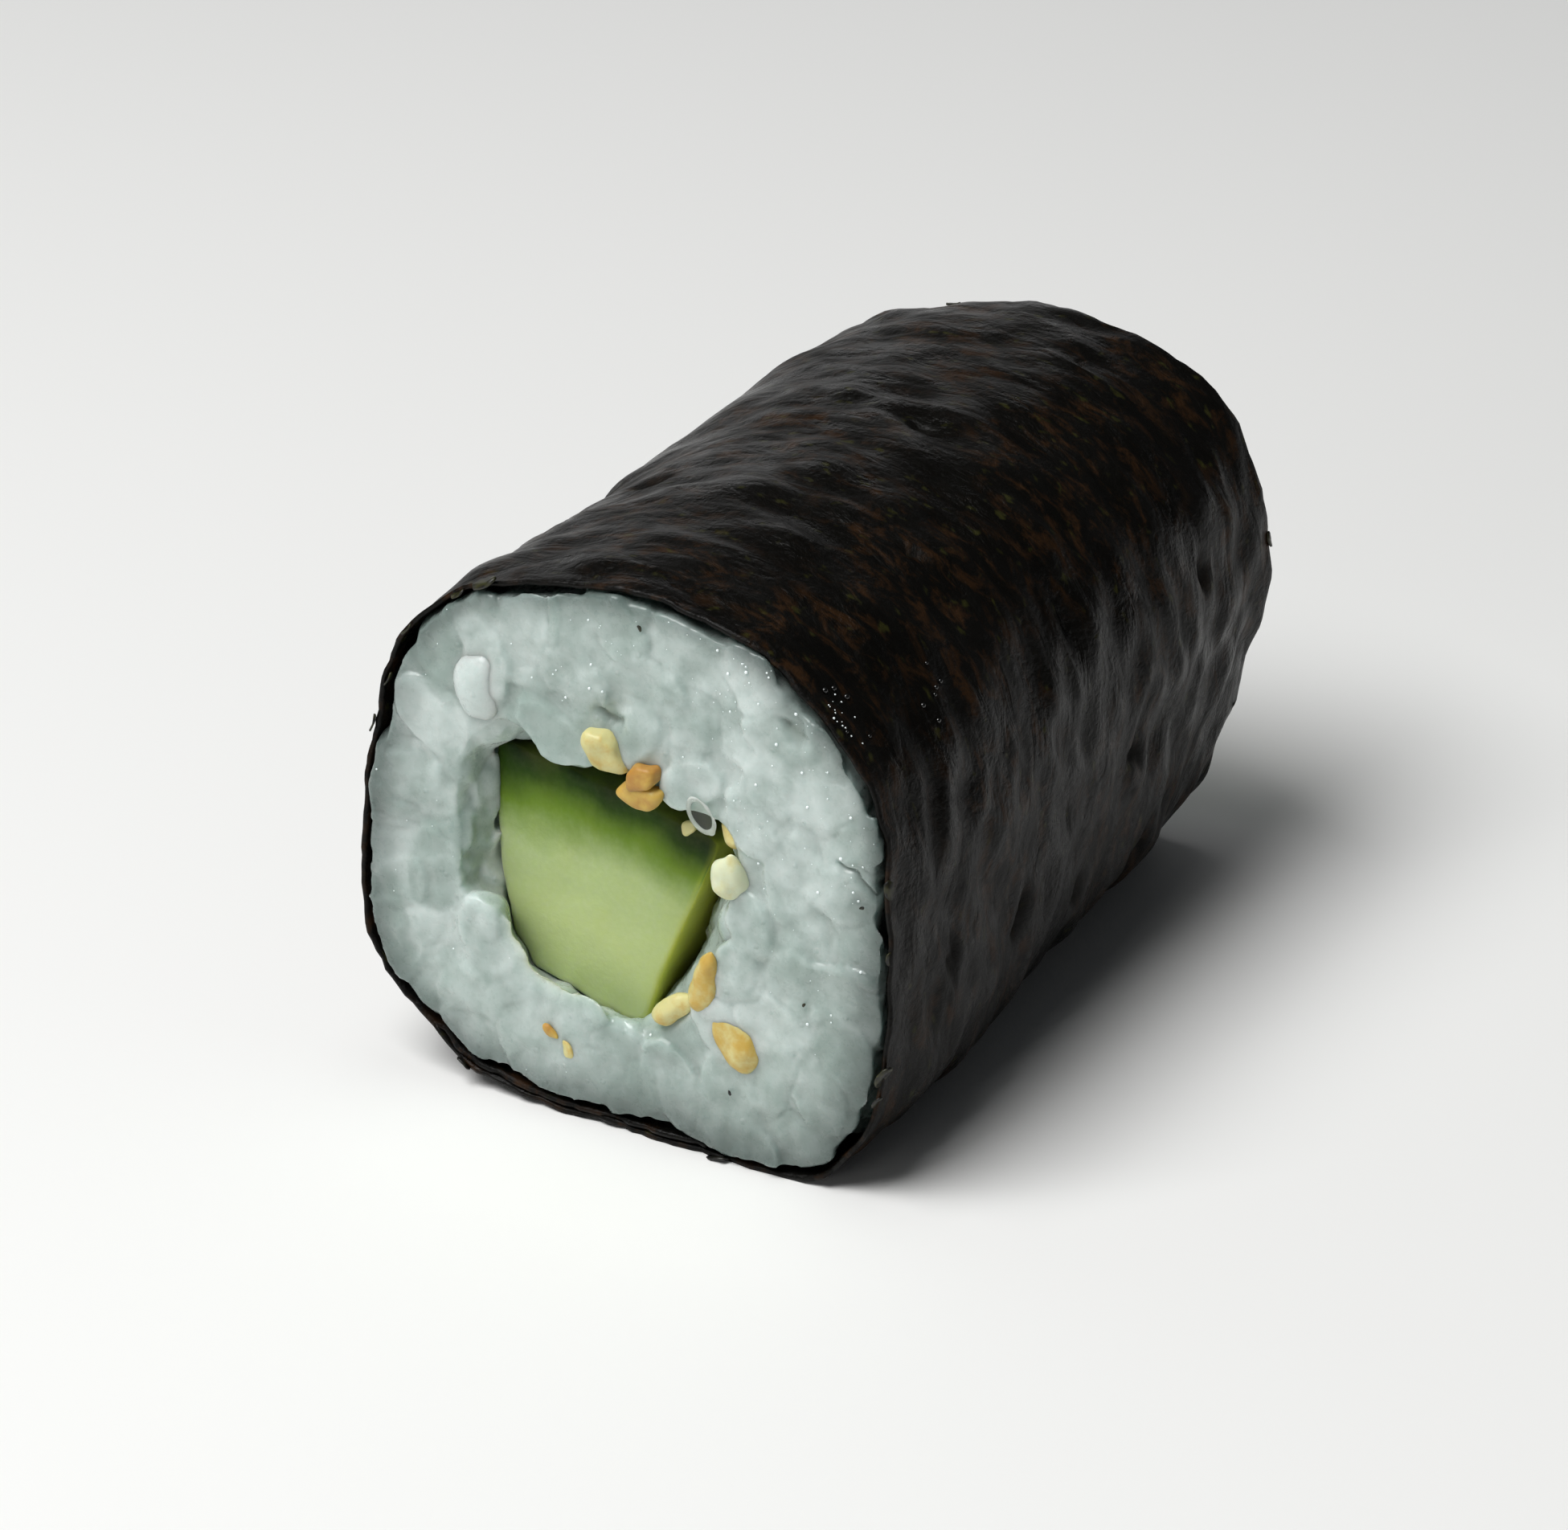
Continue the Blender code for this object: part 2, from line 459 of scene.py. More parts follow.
def noise_node(tree, coordinates, size, detail=3.0, roughness=0.5, swirl=0.0):
    inputs = {"Vector": coordinates, "Scale": per_mm(size), "Detail": detail, "Roughness": roughness}
    inputs["Distortion"] = swirl
    return add(tree, "TexNoise", inputs).outputs["Fac"]


def stretched(tree, coordinates, scale):
    return add(tree, "Mapping", {"Vector": coordinates, "Scale": scale}).outputs[0]


def object_place(tree):
    return add(tree, "TexCoord").outputs["Object"]


def bumped(tree, height, strength, distance):
    """The normal over a fine relief whose full height is that many millimetres."""
    return add(tree, "Bump", {"Height": height, "Strength": strength, "Distance": distance * MM}).outputs[0]


def nori_material(sizes):
    """Toasted nori, pressed from chopped seaweed and gone moist on the rice: nearly black, with brown and
    olive fronds showing, long wrinkles round the roll, and a satin gloss that comes and goes."""
    made, tree = new_material("toasted_nori_moist")
    sheet = add(tree, "UVMap", uv_map="sheet").outputs[0]
    along = stretched(tree, sheet, (0.45, 1.0, 1.0))
    fibres = noise_node(tree, along, 1.1, 3.0, 0.55, 1.0)
    fronds = noise_node(tree, stretched(tree, sheet, (0.6, 1.0, 1.0)), 1.1, 5.0, 0.7, 0.5)
    clouds = noise_node(tree, sheet, 7.0, 2.0)
    flecks = noise_node(tree, stretched(tree, sheet, (0.7, 1.0, 1.0)), 0.7, 2.0, 0.5)
    brown_share = ranged(tree, fronds, 0.48, 0.66)
    brown_share = math_node(tree, "MULTIPLY", brown_share, ranged(tree, clouds, 0.30, 0.60))
    olive_share = ranged(tree, flecks, 0.62, 0.76, 0.0, 0.5)
    colour = mixed(tree, brown_share, sizes.sheet_colour, sizes.brown_colour)
    colour = mixed(tree, olive_share, colour, sizes.olive_colour)
    pit = attribute(tree, "pit")
    colour = mixed(tree, pit, colour, linear("0b0906"))
    streak = ranged(tree, fibres, 0.38, 0.66)
    gloss = ranged(tree, clouds, 0.3, 0.7, 0.20, 0.32)
    dull = ranged(tree, noise_node(tree, along, 2.4, 3.0, 0.6, 0.6), 0.42, 0.62, 0.0, 0.14)
    gloss = math_node(tree, "ADD", gloss, dull)
    rough = math_node(tree, "ADD", gloss, math_node(tree, "MULTIPLY", streak, 0.12))
    rough = math_node(tree, "ADD", rough, math_node(tree, "MULTIPLY", pit, 0.4), clamp=True)
    fine = noise_node(tree, sheet, 0.35, 4.0, 0.65, 0.4)
    height = math_node(tree, "MULTIPLY_ADD", fine, 0.45, fibres)
    close_material(tree, {
        "Base Color": colour,
        "Roughness": rough,
        "IOR": 1.45,
        "Specular IOR Level": 0.135,
        "Normal": bumped(tree, height, 0.8, 0.20),
    })
    return made


def rice_material(sizes):
    """Cooked short-grain rice cut with a wet knife: translucent starch that light soaks into, with some
    chalky hearts and some glassy grains, and a thin film of water with droplets. Beside the nori the rice is
    greyed, partly nori showing through and partly painted shade that reaches further at the bottom and the
    left; the crevices of the near cut hold painted shade."""
    made, tree = new_material("cooked_rice_wet_cut")
    place = object_place(tree)
    tone = attribute(tree, "grain_tone")
    seam = attribute(tree, "seam")
    rim = attribute(tree, "rim")
    mottle = noise_node(tree, place, 1.3, 4.0, 0.55)
    clouds = noise_node(tree, place, 4.5, 2.0)
    lift = math_node(tree, "MULTIPLY_ADD", mottle, 1.1, -0.53)
    lift = math_node(tree, "ADD", lift, math_node(tree, "MULTIPLY_ADD", clouds, 0.9, -0.44))
    share = math_node(tree, "ADD", tone, lift)
    colour = mixed(tree, ranged(tree, share, 0.0, 1.0), sizes.glassy_colour, sizes.chalky_colour)
    colour = mixed(tree, math_node(tree, "MULTIPLY", seam, 0.14, clamp=True), colour, sizes.seam_colour)
    # Painted shade: the rice darkens deep in the crevices of the near cut, where the seam weight passes 1.
    crevice = ranged(tree, seam, 1.2, 3.0, 0.0, 0.6)
    colour = mixed(tree, crevice, colour, sizes.crevice_shade_colour)
    # Painted shade: greyer towards the nori, partly nori showing through the rice and partly painted shade.
    colour = mixed(tree, math_node(tree, "MULTIPLY", rim, 0.92), colour, sizes.rim_bleed_and_shade_colour)
    droplets = add(tree, "TexVoronoi", {"Vector": place, "Scale": per_mm(1.1), "Randomness": 1.0})
    dome = ranged(tree, droplets.outputs["Distance"], 0.16, 0.04)
    fine = noise_node(tree, place, 0.35, 3.0, 0.6)
    height = math_node(tree, "MULTIPLY_ADD", fine, 0.5, math_node(tree, "MULTIPLY", dome, 1.2))
    close_material(tree, {
        "Base Color": colour,
        "Roughness": ranged(tree, fine, 0.3, 0.7, 0.22, 0.42),
        "IOR": 1.38,
        "Normal": bumped(tree, height, 0.5, 0.08),
        "Subsurface Weight": 0.95,
        "Subsurface Radius": (1.0, 1.2, 1.2),
        "Subsurface Scale": 1.1 * MM,
        "Coat Weight": 0.25,
        "Coat Roughness": 0.08,
    })
    return made


def cucumber_material(sizes):
    """Raw cucumber, cut with a knife: watery pale flesh that light soaks into, running through green
    into a dark skin on one side, with a grainy cut and a film of juice. The sides facing +X get painted
    light, and the pale heart is partly painted light on the lower part of the cut."""
    made, tree = new_material("raw_cucumber_cut")
    place = object_place(tree)
    depth = attribute(tree, "skin_depth")
    clouds = noise_node(tree, place, 2.6, 1.0)
    grainy = noise_node(tree, stretched(tree, place, (1.0, 0.3, 1.0)), 0.35, 3.0, 0.6)
    streaks = noise_node(tree, stretched(tree, place, (1.0, 0.3, 0.45)), 0.7, 3.0, 0.6)
    drift = math_node(tree, "MULTIPLY_ADD", clouds, 1.8, -0.9)
    drift = math_node(tree, "ADD", drift, math_node(tree, "MULTIPLY_ADD", streaks, 0.6, -0.3))
    depth = math_node(tree, "ADD", depth, drift)
    ramp = add(tree, "ValToRGB", {"Fac": math_node(tree, "DIVIDE", depth, 8.0)})
    stops = ramp.color_ramp.elements
    stops[0].position = 0.02
    stops[0].color = (*sizes.skin_colour, 1)
    # The last stop, the heart, is partly painted light that lifts the lower part of the cut out of the lip's
    # shade.
    stops[1].position = 1.0
    stops[1].color = (*sizes.heart_and_painted_light_colour, 1)
    between = ((0.15, sizes.rind_colour), (0.32, sizes.green_colour), (0.58, sizes.flesh_colour))
    for position, colour in between:
        stop = stops.new(position)
        stop.color = (*colour, 1)
    grain_share = ranged(tree, depth, 2.0, 5.0, 0.02, 0.2)
    grain_share = math_node(tree, "MULTIPLY", ranged(tree, grainy, 0.35, 0.75), grain_share)
    colour = mixed(tree, grain_share, ramp.outputs[0], linear("c2cfa0"))
    # Painted light: the sides facing +X, shaded in the narrow gap beside the rice, are lightened towards pale
    # olive.
    side = math_node(tree, "MULTIPLY", attribute(tree, "thin_side"), ranged(tree, depth, 0.0, 4.0, 0.4, 1.0))
    colour = mixed(tree, side, colour, sizes.painted_side_light_colour)
    close_material(tree, {
        "Base Color": colour,
        "Roughness": ranged(tree, clouds, 0.3, 0.7, 0.30, 0.45),
        "IOR": 1.36,
        "Specular IOR Level": 0.2,
        "Normal": bumped(tree, grainy, 0.35, 0.08),
        "Subsurface Weight": 0.8,
        "Subsurface Radius": (1.0, 1.1, 0.4),
        "Subsurface Scale": 1.2 * MM,
    })
    return made


def sesame_material(sizes):
    """Hulled sesame seeds, toasted in a dry pan: matt and oily cream that goes gold and then orange-brown
    where it touched the pan."""
    made, tree = new_material("toasted_sesame_hulled")
    place = object_place(tree)
    patchy = noise_node(tree, place, 0.9, 3.0, 0.6)
    toast = math_node(tree, "MULTIPLY_ADD", patchy, 1.2, -0.6)
    toast = math_node(tree, "ADD", attribute(tree, "toast"), toast)
    colour = mixed(tree, ranged(tree, toast, -0.4, 0.0), sizes.raw_colour, sizes.pale_colour)
    colour = mixed(tree, ranged(tree, toast, 0.1, 0.55), colour, sizes.golden_colour)
    colour = mixed(tree, ranged(tree, toast, 0.5, 1.0), colour, sizes.toasted_colour)
    pores = noise_node(tree, place, 0.22, 2.0)
    close_material(tree, {
        "Base Color": colour,
        "Roughness": 0.42,
        "IOR": 1.47,
        "Normal": bumped(tree, pores, 0.4, 0.05),
        "Subsurface Weight": 0.35,
        "Subsurface Radius": (1.0, 0.7, 0.35),
        "Subsurface Scale": 0.5 * MM,
    })
    return made


def floor_material(sizes):
    """A pale matt table top, painted and rubbed down, so that it gives back soft light and no pattern."""
    made, tree = new_material("pale_matt_paint")
    place = object_place(tree)
    grain = noise_node(tree, place, 0.6, 2.0)
    close_material(tree, {
        "Base Color": (*sizes.floor_colour, 1),
        "Roughness": 0.75,
        "Specular IOR Level": 0.2,
        "Normal": bumped(tree, grain, 0.05, 0.05),
    })
    return made


# ---------------------------------------------------------------- nori


def sheet_reach():
    """The nori's outer face by turn along the sheet and place along the roll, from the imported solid."""
    turns = np.linspace(LAP, SHEET_TURN, READ_COLUMNS)
    nudge = np.linspace(0.06, -0.06, READ_COLUMNS)
    inset = (FAR_END - NEAR_END) * 0.001
    along = np.linspace(NEAR_END + inset, FAR_END - inset, READ_ROWS)
    table = np.array([
        [outer_reach("nori", ROLL_CENTRE, SHEET_START - turn - move, y) for y in along]
        for turn, move in zip(turns, nudge)
    ])
    table = blurred(table, 3.5, 0)
    return blurred(table, 5.0, 1)


class Sheet:
    """Places on the nori by turn in degrees from its hidden start and by place along the roll."""

    def __init__(self):
        self.table = sheet_reach()

    def reach(self, turn, y):
        over = np.where(turn < LAP, turn + 360, turn)
        across = (over - LAP) / (SHEET_TURN - LAP) * (READ_COLUMNS - 1)
        along = (y - NEAR_END) / (FAR_END - NEAR_END) * (READ_ROWS - 1)
        value = looked_up(self.table, across, along)
        return np.where(turn < LAP, value - LAP_STEP, value)


# Hollows in the sheet: angle round the roll, place along it from the near end in millimetres, length, width.
PITS = (
    (118, 13.5, 2.8, 1.6),
    (350, 24.0, 3.0, 1.5),
    (338, 13.0, 2.6, 1.3),
    (345, 5.5, 2.4, 1.0),
    (330, 20.0, 1.8, 1.1),
    (20, 31.0, 1.9, 1.2),
    (75, 22.0, 1.4, 0.9),
    (150, 27.0, 2.2, 1.0),
    (205, 9.0, 1.6, 1.1),
    (185, 33.0, 1.4, 1.2),
    (55, 12.0, 1.2, 0.8),
    (320, 29.0, 1.6, 1.0),
)


def pit_share(turn, y):
    """How far into a hollow each place of the sheet lies, from 0 to 1."""
    total = np.zeros(len(turn))
    for angle, along, length, width in PITS:
        sideways = np.radians(turn_between(SHEET_START - turn, angle)) * ROLL_RADIUS
        lengthways = (y - NEAR_END) / MM - along
        total += np.exp(-((sideways / (length / 2)) ** 2) - (lengthways / (width / 2)) ** 2)
    place = np.stack([np.radians(turn) * ROLL_RADIUS, (y - NEAR_END) / MM, np.zeros(len(turn))], 1)
    return np.clip(total * (1 + 1.2 * noise_at(place, 0.8, 12)) * 1.2 - 0.15, 0, 1)


def noise_on_sheet(around, along, across_size, along_size, seed):
    """Noise on the unrolled sheet, with lumps of those sizes in millimetres round and along the roll."""
    flat = np.stack([around / across_size, along / along_size, np.zeros(len(around))], 1)
    return noise_at(flat, 1.0, seed)


def torn_line(place, height, seed):
    """How far a cut rim runs in and out round the sheet, in coarse and in fine tears."""
    line = place[:, :1] @ [[1, 0, 0]]
    torn = height * (noise_at(line, 1.3, seed) * 0.9)
    return torn + height * noise_at(line, 0.45, seed + 1) * 0.6


def make_nori(sizes):
    """Rolls a flat grid into the sheet, wrinkles it, tears its rims and gives it its thickness."""
    sheet = added_grid("nori_sheet", SHEET_COLUMNS, SHEET_ROWS)
    flat = points_of(sheet)
    turn = flat[:, 0] * SHEET_TURN
    y = NEAR_END + flat[:, 1] * (FAR_END - NEAR_END)
    around = np.radians(turn) * ROLL_RADIUS
    along = (y - NEAR_END) / MM
    reach = Sheet().reach(turn, y)
    place = np.stack([around, along, np.zeros(len(turn))], 1)
    sway = noise_on_sheet(around, along, 7.0, 5.0, 1) * 2.2
    crest = 0.6 - np.abs(noise_on_sheet(around, along + sway, 5.5, 1.25, 2)) * 2
    folds = noise_on_sheet(around, along + sway * 0.6, 4.2, 2.3, 3)
    dents = noise_on_sheet(around, along, 2.4, 1.5, 16)
    strength = np.clip(noise_on_sheet(around, along, 8.0, 7.0, 4) + 0.55, 0.15, 1)
    swell = noise_on_sheet(around, along, 5.0, 3.4, 5)
    pits = pit_share(turn, y)
    right_side = near_angle(SHEET_START - turn, -15, 1.5, 45)
    left_side = near_angle(SHEET_START - turn, 130, 1.5, 30)
    height = (crest * 0.30 + folds * (1 + 0.3 * left_side)) * strength + dents * (0.6 + 0.45 * right_side)
    height *= sizes.wrinkle_height
    height += sizes.swell_height * swell - PIT_DEPTH * pits
    hidden = np.clip((turn - LAP + 6) / 12, 0, 1)
    free_edge = np.clip((SHEET_TURN - turn) / 8, 0, 1)
    reach = reach + height * hidden * (0.4 + 0.6 * free_edge)
    near_torn = torn_line(place, sizes.ragged_rim, 6)
    far_torn = torn_line(place, sizes.ragged_rim, 8)
    near_pull = np.clip(1 - along / 2.5, 0, 1) ** 2
    far_pull = np.clip(1 - (FAR_END - y) / MM / 2.5, 0, 1) ** 2
    y = y + near_torn * near_pull + far_torn * far_pull
    frayed = noise_at(place, 1.7, 10) * 2.2
    turn_now = turn + frayed * (1 - free_edge)
    angle = np.radians(SHEET_START - turn_now)
    x = ROLL_CENTRE.x + reach * np.cos(angle)
    z = np.maximum(ROLL_CENTRE.z + reach * np.sin(angle), 0)
    set_points(sheet, np.stack([x, y, z], 1))
    paint_uv(sheet, around * MM, along * MM)
    write_attribute(sheet, "pit", pits)
    body = sheet.vertex_groups.new(name="body")
    rim_share = np.clip(np.minimum(along, (FAR_END - NEAR_END) / MM - along) / 1.6, 0, 1)
    steps = np.round((0.55 + 0.45 * rim_share) * 20).astype(int)
    for step in np.unique(steps):
        body.add(np.nonzero(steps == step)[0].tolist(), step / 20, "REPLACE")
    apply_modifier(
        sheet, "SOLIDIFY", thickness=sizes.thickness, offset=-1, use_even_offset=False, vertex_group="body"
    )
    sheet.vertex_groups.clear()
    settle(sheet, nori_material(sizes), ("nori",))


def paint_uv(sheet, across, along):
    """Lays the sheet's own real measures in metres on it as its UV map."""
    if sheet.data.uv_layers:
        sheet.data.uv_layers.remove(sheet.data.uv_layers[0])
    layer = sheet.data.uv_layers.new(name="sheet")
    corners = np.zeros(len(sheet.data.loops), np.int32)
    sheet.data.loops.foreach_get("vertex_index", corners)
    values = np.stack([across[corners], along[corners]], 1)
    layer.data.foreach_set("uv", values.astype(np.float32).ravel())


# ---------------------------------------------------------------- rice


# Grains that stand out at the cut: angle round the stick, distance from its middle, how proud of the cut,
# length, width, thickness in millimetres, turn of the long axis from level, lean in degrees, and tone from
# glassy to chalky.
NEAR_GRAINS = (
    (101, 8.60, 0.10, 4.6, 2.7, 2.4, 146, 0, 0.16),
    (201, 6.30, 0.12, 3.0, 2.6, 2.4, 80, 0, 0.54),
    (216, 6.50, 0.06, 3.2, 2.5, 2.4, 120, 0, 0.44),
    (222, 8.60, 0.05, 4.2, 2.7, 2.4, 20, 0, 0.40),
    (10, 8.40, 0.12, 3.6, 2.6, 2.4, 108, 0, 0.42),
    (352, 7.60, 0.10, 3.4, 2.4, 2.4, 80, 0, 0.46),
    (75, 9.60, 0.08, 3.6, 2.4, 2.4, 60, 0, 0.40),
    (55, 9.20, 0.14, 3.6, 2.6, 2.4, 30, 0, 0.44),
    (38, 10.60, 0.10, 3.8, 2.6, 2.4, 120, 0, 0.50),
)
FAR_GRAINS = (
    (95, 9.00, 0.22, 4.2, 2.6, 2.4, 20, 0, 0.95),
    (30, 9.20, 0.12, 4.2, 2.6, 2.4, 120, 0, 0.15),
    (170, 7.40, 0.20, 4.0, 2.7, 2.4, 75, 0, 0.60),
    (290, 7.60, 0.16, 4.2, 2.6, 2.4, 160, 0, 0.50),
    (240, 8.40, 0.10, 4.0, 2.6, 2.4, 30, 0, 0.75),
)


# Crevices in the near cut: x and z of one end and of the other in millimetres, width, depth.
NEAR_CREVICES = (
    (-0.75, 21.2, -0.1, 20.7, 0.60, 0.20),
    (8.6, 22.8, 9.3, 22.4, 0.55, 0.22),
    (11.2, 16.7, 13.1, 15.7, 0.28, 0.18),
)


def crevice_share(points):
    """How far into a crevice of the near cut each point lies, from 0 to 1, and how deep that is."""
    share = np.zeros(len(points))
    depth = np.zeros(len(points))
    flat = points[:, [0, 2]] / MM + noise_at(points, 0.7 * MM, 17)[:, None] * 0.35
    for x0, z0, x1, z1, width, deep in NEAR_CREVICES:
        start = np.array([x0, z0])
        run = np.array([x1, z1]) - start
        along = np.clip((flat - start) @ run / (run @ run), 0, 1)
        away = np.linalg.norm(flat - start - along[:, None] * run, axis=1)
        here = np.exp(-((away / width) ** 2) * 2)
        share = np.maximum(share, here)
        depth = np.maximum(depth, here * deep)
    near = points[:, 1] < NEAR_END + 0.8 * MM
    return share * near, depth * near


class RiceWalls:
    """The outer wall, the hole and the stick, read once."""

    def __init__(self):
        near, far = NEAR_END, FAR_END
        TREES["nori_sheet"] = tree_of(bpy.data.objects["nori_sheet"])
        self.outer = WallTable(sheet_inside, "nori_sheet", ROLL_CENTRE, near, far, 1.2, 0.8, 97)
        self.hole = WallTable(inner_reach, "rice", STICK_CENTRE, near, far, 1.5, 0.6, 97)
        stick_near, stick_far = STICK_LOW.y, STICK_HIGH.y
        self.stick = WallTable(outer_reach, "cucumber", STICK_CENTRE, stick_near, stick_far, 1.0, 1.0, 9)

    def hole_reach(self, angle, y):
        """The hole's wall: drawn back at the mouth, and closing on the stick where that is beside it."""
        low, high = STICK_LOW.y, STICK_HIGH.y
        depth = np.clip(np.minimum(y - NEAR_END, FAR_END - y) / MM / MOUTH_DEPTH, 0, 1)
        beside = np.clip(np.minimum(y - low, high - y) / (0.25 * MM), 0, 1)
        stick = self.stick.at(angle, y) + wander(STICK_SWELL, angle) + 0.03 * MM
        hollow = np.where(np.asarray(y) < 0, wander(NEAR_HOLLOW, angle), 0) * (1 - depth)
        return np.maximum(self.hole.at(angle, y) + hollow - RICE_TO_STICK * depth, stick * beside)

    def gap_to_nori(self, points):
        """Millimetres from each point out to the inner face of the nori."""
        wall = self.outer.at(angle_of(points, ROLL_CENTRE), np.clip(points[:, 1], NEAR_END, FAR_END))
        return (wall - reach_of(points, ROLL_CENTRE)) / MM

    def ring(self, share, angle, y, outer_inset, hole_inset):
        """Points between the hole, at 0, and the outer wall, at 1."""
        turn = np.radians(angle)
        outside = self.outer.at(angle, y) - outer_inset
        inside = self.hole_reach(angle, y) + hole_inset
        out_x = ROLL_CENTRE.x + outside * np.cos(turn)
        out_z = ROLL_CENTRE.z + outside * np.sin(turn)
        in_x = STICK_CENTRE.x + inside * np.cos(turn)
        in_z = STICK_CENTRE.z + inside * np.sin(turn)
        x = in_x + (out_x - in_x) * share
        z = in_z + (out_z - in_z) * share
        return np.stack([x, y, z], 1)


def ring_of_rice(name, walls, low_y, high_y, columns, outer_inset, hole_inset):
    """A closed ring of rice between two places along the roll, by a wrapped grid."""
    across = (0.0, 0.2, 0.4, 0.6, 0.8, 1.0)
    steps = max(3, int((high_y - low_y) / (1.0 * MM)))
    along = np.linspace(low_y, high_y, steps + 1)
    loop = [(share, low_y) for share in across]
    loop += [(1.0, y) for y in along[1:-1]]
    loop += [(share, high_y) for share in reversed(across)]
    loop += [(0.0, y) for y in along[-2:0:-1]]
    ring = added_grid(name, columns, len(loop))
    flat = points_of(ring)
    angle = np.round(flat[:, 0] * columns) % columns * 360 / columns
    rows = (np.round(flat[:, 1] * len(loop)) % len(loop)).astype(int)
    share = np.array([loop[row][0] for row in rows])
    y = np.array([loop[row][1] for row in rows])
    set_points(ring, walls.ring(share, angle, y, outer_inset, hole_inset))
    merge_and_face_out(ring)
    return ring


def grain_template(name="grain", rings=10, segments=14):
    """One cooked grain, a unit long barrel with blunt ends and a slight belly."""
    deselect()
    bpy.ops.mesh.primitive_uv_sphere_add(segments=segments, ring_count=rings, radius=0.5)
    grain = take(name)
    points = points_of(grain)
    along = points[:, 2] * 2
    blunt = np.sign(along) * np.abs(along) ** 0.85
    round_share = np.sqrt(np.clip(1 - along ** 2, 0, 1))
    wanted = np.clip(1 - np.abs(blunt) ** 2.6, 0, 1) ** 0.5
    scale = np.where(round_share > 0.01, wanted / np.maximum(round_share, 0.01), 1)
    points[:, 0] *= scale
    points[:, 1] *= scale
    points[:, 0] += 0.05 * (1 - along ** 2)
    set_points(grain, points[:, [2, 0, 1]])
    return grain


def packed_grains(walls, face_y, inward, seed, chosen):
    """Grains in the space behind a cut face, none nearer its neighbours than pressed grains are."""
    dice = random.Random(seed)
    placings = list(chosen)
    centres = [tuple(placing.translation) for placing in chosen]
    for step in range(MOUTH_GRAINS):
        angle = step * 360 / MOUTH_GRAINS + dice.gauss(0, 4)
        y = face_y + inward * dice.uniform(0.7, 1.3) * MM
        away = float(walls.hole_reach(angle, y)) + 1.0 * MM
        point = spot_at(STICK_CENTRE, angle, away, y)
        if any(math.dist(point, other) < MOUTH_APART for other in centres):
            continue
        centres.append(tuple(point))
        spin = Matrix.Rotation(-math.radians(angle + 90 + dice.gauss(0, 25)), 3, "Y")
        lean = Matrix.Rotation(dice.gauss(0, 0.25), 3, "Z")
        stretch = Matrix.Diagonal((GRAIN_LENGTH * MM * 0.85, GRAIN_THICKNESS * MM, GRAIN_WIDTH * MM * 0.95))
        matrix = (spin @ lean @ stretch).to_4x4()
        matrix.translation = point
        placings.append(matrix)
    tries = 0
    while tries < GRAIN_TRIES and len(centres) < MOST_GRAINS:
        tries += 1
        angle = dice.uniform(0, 360)
        depth = dice.uniform(-0.9, 4.2) * MM
        y = face_y + inward * depth
        between_ends = min(max(y, NEAR_END), FAR_END)
        share, *place = np.array([[dice.uniform(0, 1) ** 0.6], [angle], [between_ends]])
        point = walls.ring(share, *place, 0.9 * MM, 0.55 * MM)[0]
        point[1] = y
        if any(math.dist(point, other) < APART for other in centres):
            continue
        centres.append(tuple(point))
        turn = Euler((dice.uniform(-0.5, 0.5), dice.uniform(-0.6, 0.6), 0)).to_matrix()
        spin = Matrix.Rotation(dice.uniform(0, 2 * math.pi), 3, "Y")
        tip = Matrix.Rotation(dice.gauss(0, 0.5), 3, "Z")
        stretch = Matrix.Diagonal((
            GRAIN_LENGTH * MM * dice.uniform(0.82, 1.08),
            GRAIN_THICKNESS * MM * dice.uniform(0.9, 1.15),
            GRAIN_WIDTH * MM * dice.uniform(0.9, 1.15),
        ))
        matrix = (spin @ tip @ turn @ stretch).to_4x4()
        matrix.translation = Vector(point)
        placings.append(matrix)
    return placings


